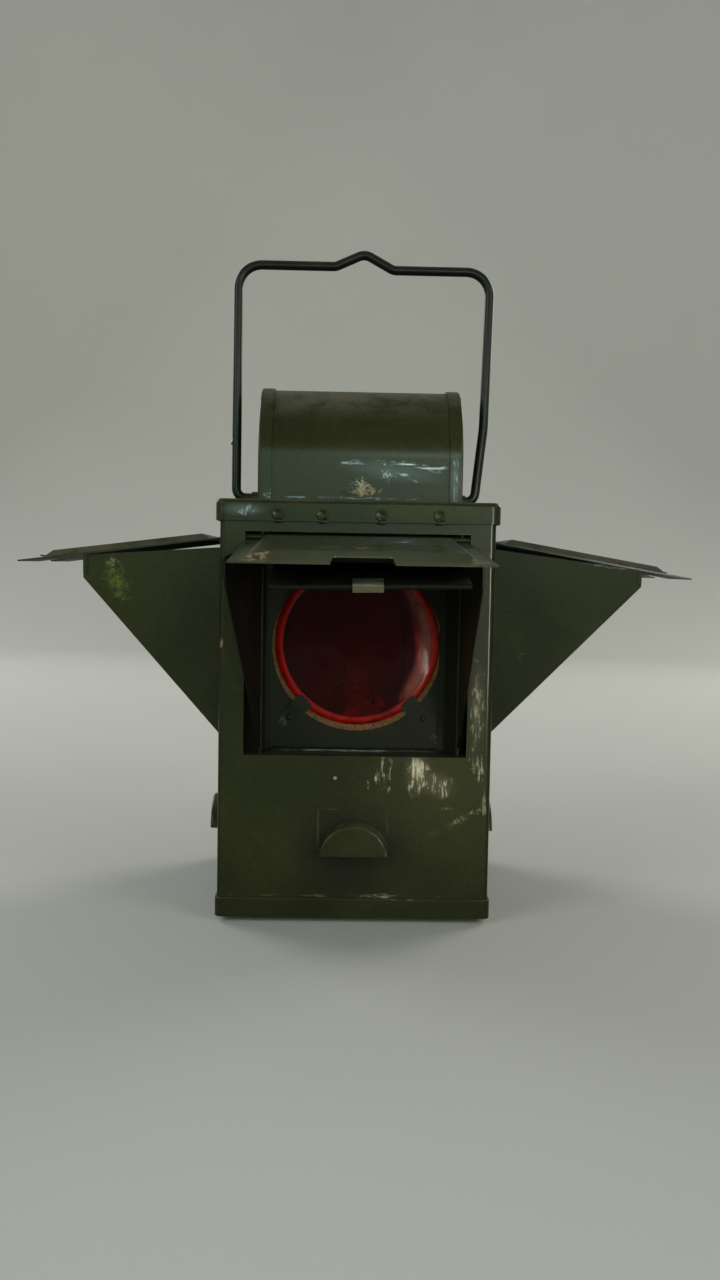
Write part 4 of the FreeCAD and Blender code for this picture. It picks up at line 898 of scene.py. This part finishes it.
class SIGNALLAMP_OT_stage(bpy.types.Operator):
    """Make the camera, the round pale floor and the soft lights"""
    bl_idname = "signal_lamp.stage"
    bl_label = "Stage"

    def execute(self, context):
        chosen = settings().stage
        self.make_camera(context.scene)
        self.make_floor(context.scene, chosen)
        self.make_sky(context.scene, chosen)
        for softbox in SOFTBOXES:
            self.make_softbox(context.scene, softbox, getattr(chosen, softbox.power))
        context.scene.view_settings.view_transform = "Standard"
        return {"FINISHED"}

    def make_camera(self, scene):
        """A camera turned by its yaw, its pitch and its roll."""
        forward = Vector((math.sin(CAMERA_YAW), math.cos(CAMERA_YAW), 0.0))
        right = Vector((math.cos(CAMERA_YAW), -math.sin(CAMERA_YAW), 0.0))
        up = Vector((0.0, 0.0, 1.0))
        ahead = math.cos(CAMERA_PITCH) * forward + math.sin(CAMERA_PITCH) * up
        above = -math.sin(CAMERA_PITCH) * forward + math.cos(CAMERA_PITCH) * up
        side = math.cos(CAMERA_ROLL) * right + math.sin(CAMERA_ROLL) * above
        crown = -math.sin(CAMERA_ROLL) * right + math.cos(CAMERA_ROLL) * above
        lens = bpy.data.cameras.new("lamp_camera")
        lens.lens = CAMERA_LENS
        lens.sensor_fit = "AUTO"
        lens.sensor_width = SENSOR_SIZE
        lens.clip_start = CAMERA_NEAR
        camera = bpy.data.objects.new("lamp_camera", lens)
        turn = Matrix((side, crown, -ahead)).transposed().to_4x4()
        camera.matrix_world = Matrix.Translation(CAMERA_PLACE) @ turn
        scene.collection.objects.link(camera)
        scene.camera = camera

    def make_floor(self, scene, chosen):
        """A flat disc that sweeps up into a low wall all round."""
        flat = chosen.radius - SWEEP_RADIUS
        outline = [Vector(ORIGIN), Vector((flat, 0.0, 0.0))]
        for number in range(1, SWEEP_STEPS + 1):
            angle = math.radians(90.0) * number / SWEEP_STEPS
            outline.append(Vector((flat + SWEEP_RADIUS * math.sin(angle), 0.0,
                                   SWEEP_RADIUS - SWEEP_RADIUS * math.cos(angle))))
        outline.append(Vector((chosen.radius, 0.0, WALL_HEIGHT)))
        mesh = bmesh.new()
        points = [mesh.verts.new(place) for place in outline]
        lines = [mesh.edges.new(pair) for pair in zip(points, points[1:])]
        bmesh.ops.spin(mesh, geom=points + lines, axis=(0.0, 0.0, 1.0), cent=ORIGIN,
                       steps=FLOOR_STEPS, angle=FULL_TURN, use_merge=True)
        bmesh.ops.remove_doubles(mesh, verts=mesh.verts, dist=MERGE_REACH)
        data = bpy.data.meshes.new("floor")
        mesh.to_mesh(data)
        mesh.free()
        for face in data.polygons:
            face.use_smooth = True
        data.materials.append(floor_cloth("pale_floor", chosen.floor))
        floor = bpy.data.objects.new("floor", data)
        scene.collection.objects.link(floor)

    def make_sky(self, scene, chosen):
        world = bpy.data.worlds.new("studio")
        world.use_nodes = True
        background = world.node_tree.nodes["Background"]
        background.inputs["Color"].default_value = SKY_COLOUR
        background.inputs["Strength"].default_value = chosen.sky
        scene.world = world

    def make_softbox(self, scene, softbox, power):
        """A soft light; a narrow one only shows as a gleam and lights nothing matt."""
        lamp = bpy.data.lights.new(softbox.name, "AREA")
        lamp.shape = "RECTANGLE"
        lamp.size, lamp.size_y = softbox.size
        lamp.energy = power
        lamp.color = softbox.colour
        lamp.spread = math.radians(softbox.spread)
        box = bpy.data.objects.new(softbox.name, lamp)
        aim = (Vector(softbox.target) - Vector(softbox.place)).to_track_quat("-Z", "Y")
        box.matrix_world = Matrix.Translation(softbox.place) @ aim.to_matrix().to_4x4()
        box.visible_camera = False
        box.visible_diffuse = softbox.spread > GLEAM_SPREAD
        scene.collection.objects.link(box)


class SIGNALLAMP_OT_paint(bpy.types.Operator):
    """Paint the sheet-metal pieces with worn olive enamel"""
    bl_idname = "signal_lamp.paint"
    bl_label = "Painted sheet"

    def execute(self, context):
        kinds = {
            "sheet": enamel("olive_enamel"),
            "body": enamel("body_enamel", marks=BODY_MARKS, printed=True),
            "door": enamel("door_enamel", inner_shade=0.0),
            # the pan is darker all over
            "pan": enamel("pan_enamel", marks=PAN_MARKS, soot=0.20),
            "hood": enamel("hood_enamel", marks=HOOD_MARKS, dust=0.95, polish=0.20),
            "cap": enamel("cap_enamel", marks=CAP_MARKS, polish=0.20),
            "lid": enamel("lid_enamel", marks=LID_MARKS, coat=0.10),
            "flap": enamel("flap_enamel", marks=FLAP_MARKS, dust=0.1, coat=0.28, rough=0.26),
            "cheek": enamel("cheek_enamel", marks=CHEEK_MARKS),
            # these four are darker copies of the enamel: painted shade for pieces in the recess
            # and in shadow
            "window": enamel("window_enamel", marks=WINDOW_MARKS, soot=0.12, coat=0.10),
            "shaded": enamel("shaded_enamel", soot=0.30),
            "smoked": enamel("smoked_enamel", soot=0.66),
            "black": enamel("blackened_enamel", soot=0.88),
            "iron": enamel("handle_enamel", base="iron", coat=0.12),
        }
        for node, slot in SLOT_OF.items():
            if slot == "olive_paint":
                give(node, kinds[PAINT_KIND.get(node, "sheet")])
        return {"FINISHED"}


class SIGNALLAMP_OT_metal(bpy.types.Operator):
    """Finish the wires, the font, the burner and the shutter's clip"""
    bl_idname = "signal_lamp.metal"
    bl_label = "Wires and burner"

    def execute(self, context):
        finishes = {
            "steel_wire": steel("oiled_wire"),
            "tinned_steel": tin("tinned_sheet"),
            "brass": brass("old_brass"),
            "wick_cotton": cotton("wick_weave"),
        }
        for node, slot in SLOT_OF.items():
            if slot in finishes:
                give(node, finishes[slot])
        give("shutter_clip", clip_brass("clip_worn_tin"))
        return {"FINISHED"}


class SIGNALLAMP_OT_glass(bpy.types.Operator):
    """Glaze the three lenses and their packing rings"""
    bl_idname = "signal_lamp.glass"
    bl_label = "Lenses"

    def execute(self, context):
        chosen = settings().glass
        felt = ring_felt("packing_ring", chosen.gasket)
        give("front_lens", lens_glass("red_lens", "front_lens", "XZ",
                                      chosen.red, chosen.red_rim, 0.8))
        give("left_lens", lens_glass("green_lens", "left_lens", "YZ",
                                     chosen.green, chosen.green_rim))
        give("right_lens", lens_glass("clear_lens", "right_lens", "YZ",
                                      chosen.clear, chosen.clear_rim))
        for node, slot in SLOT_OF.items():
            if slot == "gasket":
                give(node, felt)
        return {"FINISHED"}


class SIGNALLAMP_OT_crimps(bpy.types.Operator):
    """Punch the lid's skirt to the shell with dimples and beads of solder"""
    bl_idname = "signal_lamp.crimps"
    bl_label = "Lid crimps"

    def execute(self, context):
        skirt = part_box("lid")
        tail = CRIMP_Z - skirt[0].z
        meshes = [crimp((x * MILLIMETRE, skirt[0].y, CRIMP_Z), tail, turn)
                  for turn in (0.0, 180.0) for x in CRIMP_PLACES]
        piece = new_piece("lid_crimps", joined(meshes), "lamp_body",
                          enamel("crimp_enamel", coat=0.10))
        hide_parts("lid_rivets")
        return {"FINISHED"}


class SIGNALLAMP_OT_solder(bpy.types.Operator):
    """Run the solder along the hood's foot and leave the burr on the handle"""
    bl_idname = "signal_lamp.solder"
    bl_label = "Solder"

    def execute(self, context):
        skin = solder_skin("painted_solder")
        low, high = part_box("chimney_hood")
        beads = []
        for y in (low.y + HOOD_FLANGE, high.y - HOOD_FLANGE):
            place = low.z + SOLDER_SIZE
            beads.append(bead_along(Vector((low.x, y, place)), Vector((high.x, y, place)),
                                    SOLDER_SIZE))
        new_piece("hood_solder", joined(beads), "lamp_body", skin)
        burr = bmesh.new()
        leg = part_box("handle")[0].x
        ball(burr, BURR_SIZE, (leg + BURR_INSET, 0.0, BURR_Z), BURR_LEAN)
        new_piece("handle_burr", burr, "handle", skin)
        return {"FINISHED"}


class SIGNALLAMP_PT_sidebar(bpy.types.Panel):
    """Lists the lamp's settings and steps"""
    bl_label = "Signal Lamp"
    bl_idname = "SIGNALLAMP_PT_sidebar"
    bl_space_type = "VIEW_3D"
    bl_region_type = "UI"
    bl_category = "Signal Lamp"

    def draw(self, context):
        for group in ("paint", "metal", "glass", "stage"):
            box = self.layout.box()
            chosen = getattr(context.scene.signal_lamp, group)
            for name in chosen.__annotations__:
                box.prop(chosen, name)
        for operator in OPERATORS:
            self.layout.operator(operator.bl_idname)


OPERATORS = (
    SIGNALLAMP_OT_stage,
    SIGNALLAMP_OT_paint,
    SIGNALLAMP_OT_metal,
    SIGNALLAMP_OT_glass,
    SIGNALLAMP_OT_crimps,
    SIGNALLAMP_OT_solder,
)
CLASSES = (LampPaintSettings, LampMetalSettings, LampGlassSettings, LampStageSettings,
           LampSettings) + OPERATORS + (SIGNALLAMP_PT_sidebar,)


def register():
    for kind in CLASSES:
        bpy.utils.register_class(kind)
    bpy.types.Scene.signal_lamp = bpy.props.PointerProperty(type=LampSettings)


def unregister():
    del bpy.types.Scene.signal_lamp
    for kind in reversed(CLASSES):
        bpy.utils.unregister_class(kind)


def main():
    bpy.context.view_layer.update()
    register()
    bpy.ops.signal_lamp.stage()
    bpy.ops.signal_lamp.paint()
    bpy.ops.signal_lamp.metal()
    bpy.ops.signal_lamp.glass()
    bpy.ops.signal_lamp.crimps()
    bpy.ops.signal_lamp.solder()


if __name__ == "__main__":
    main()
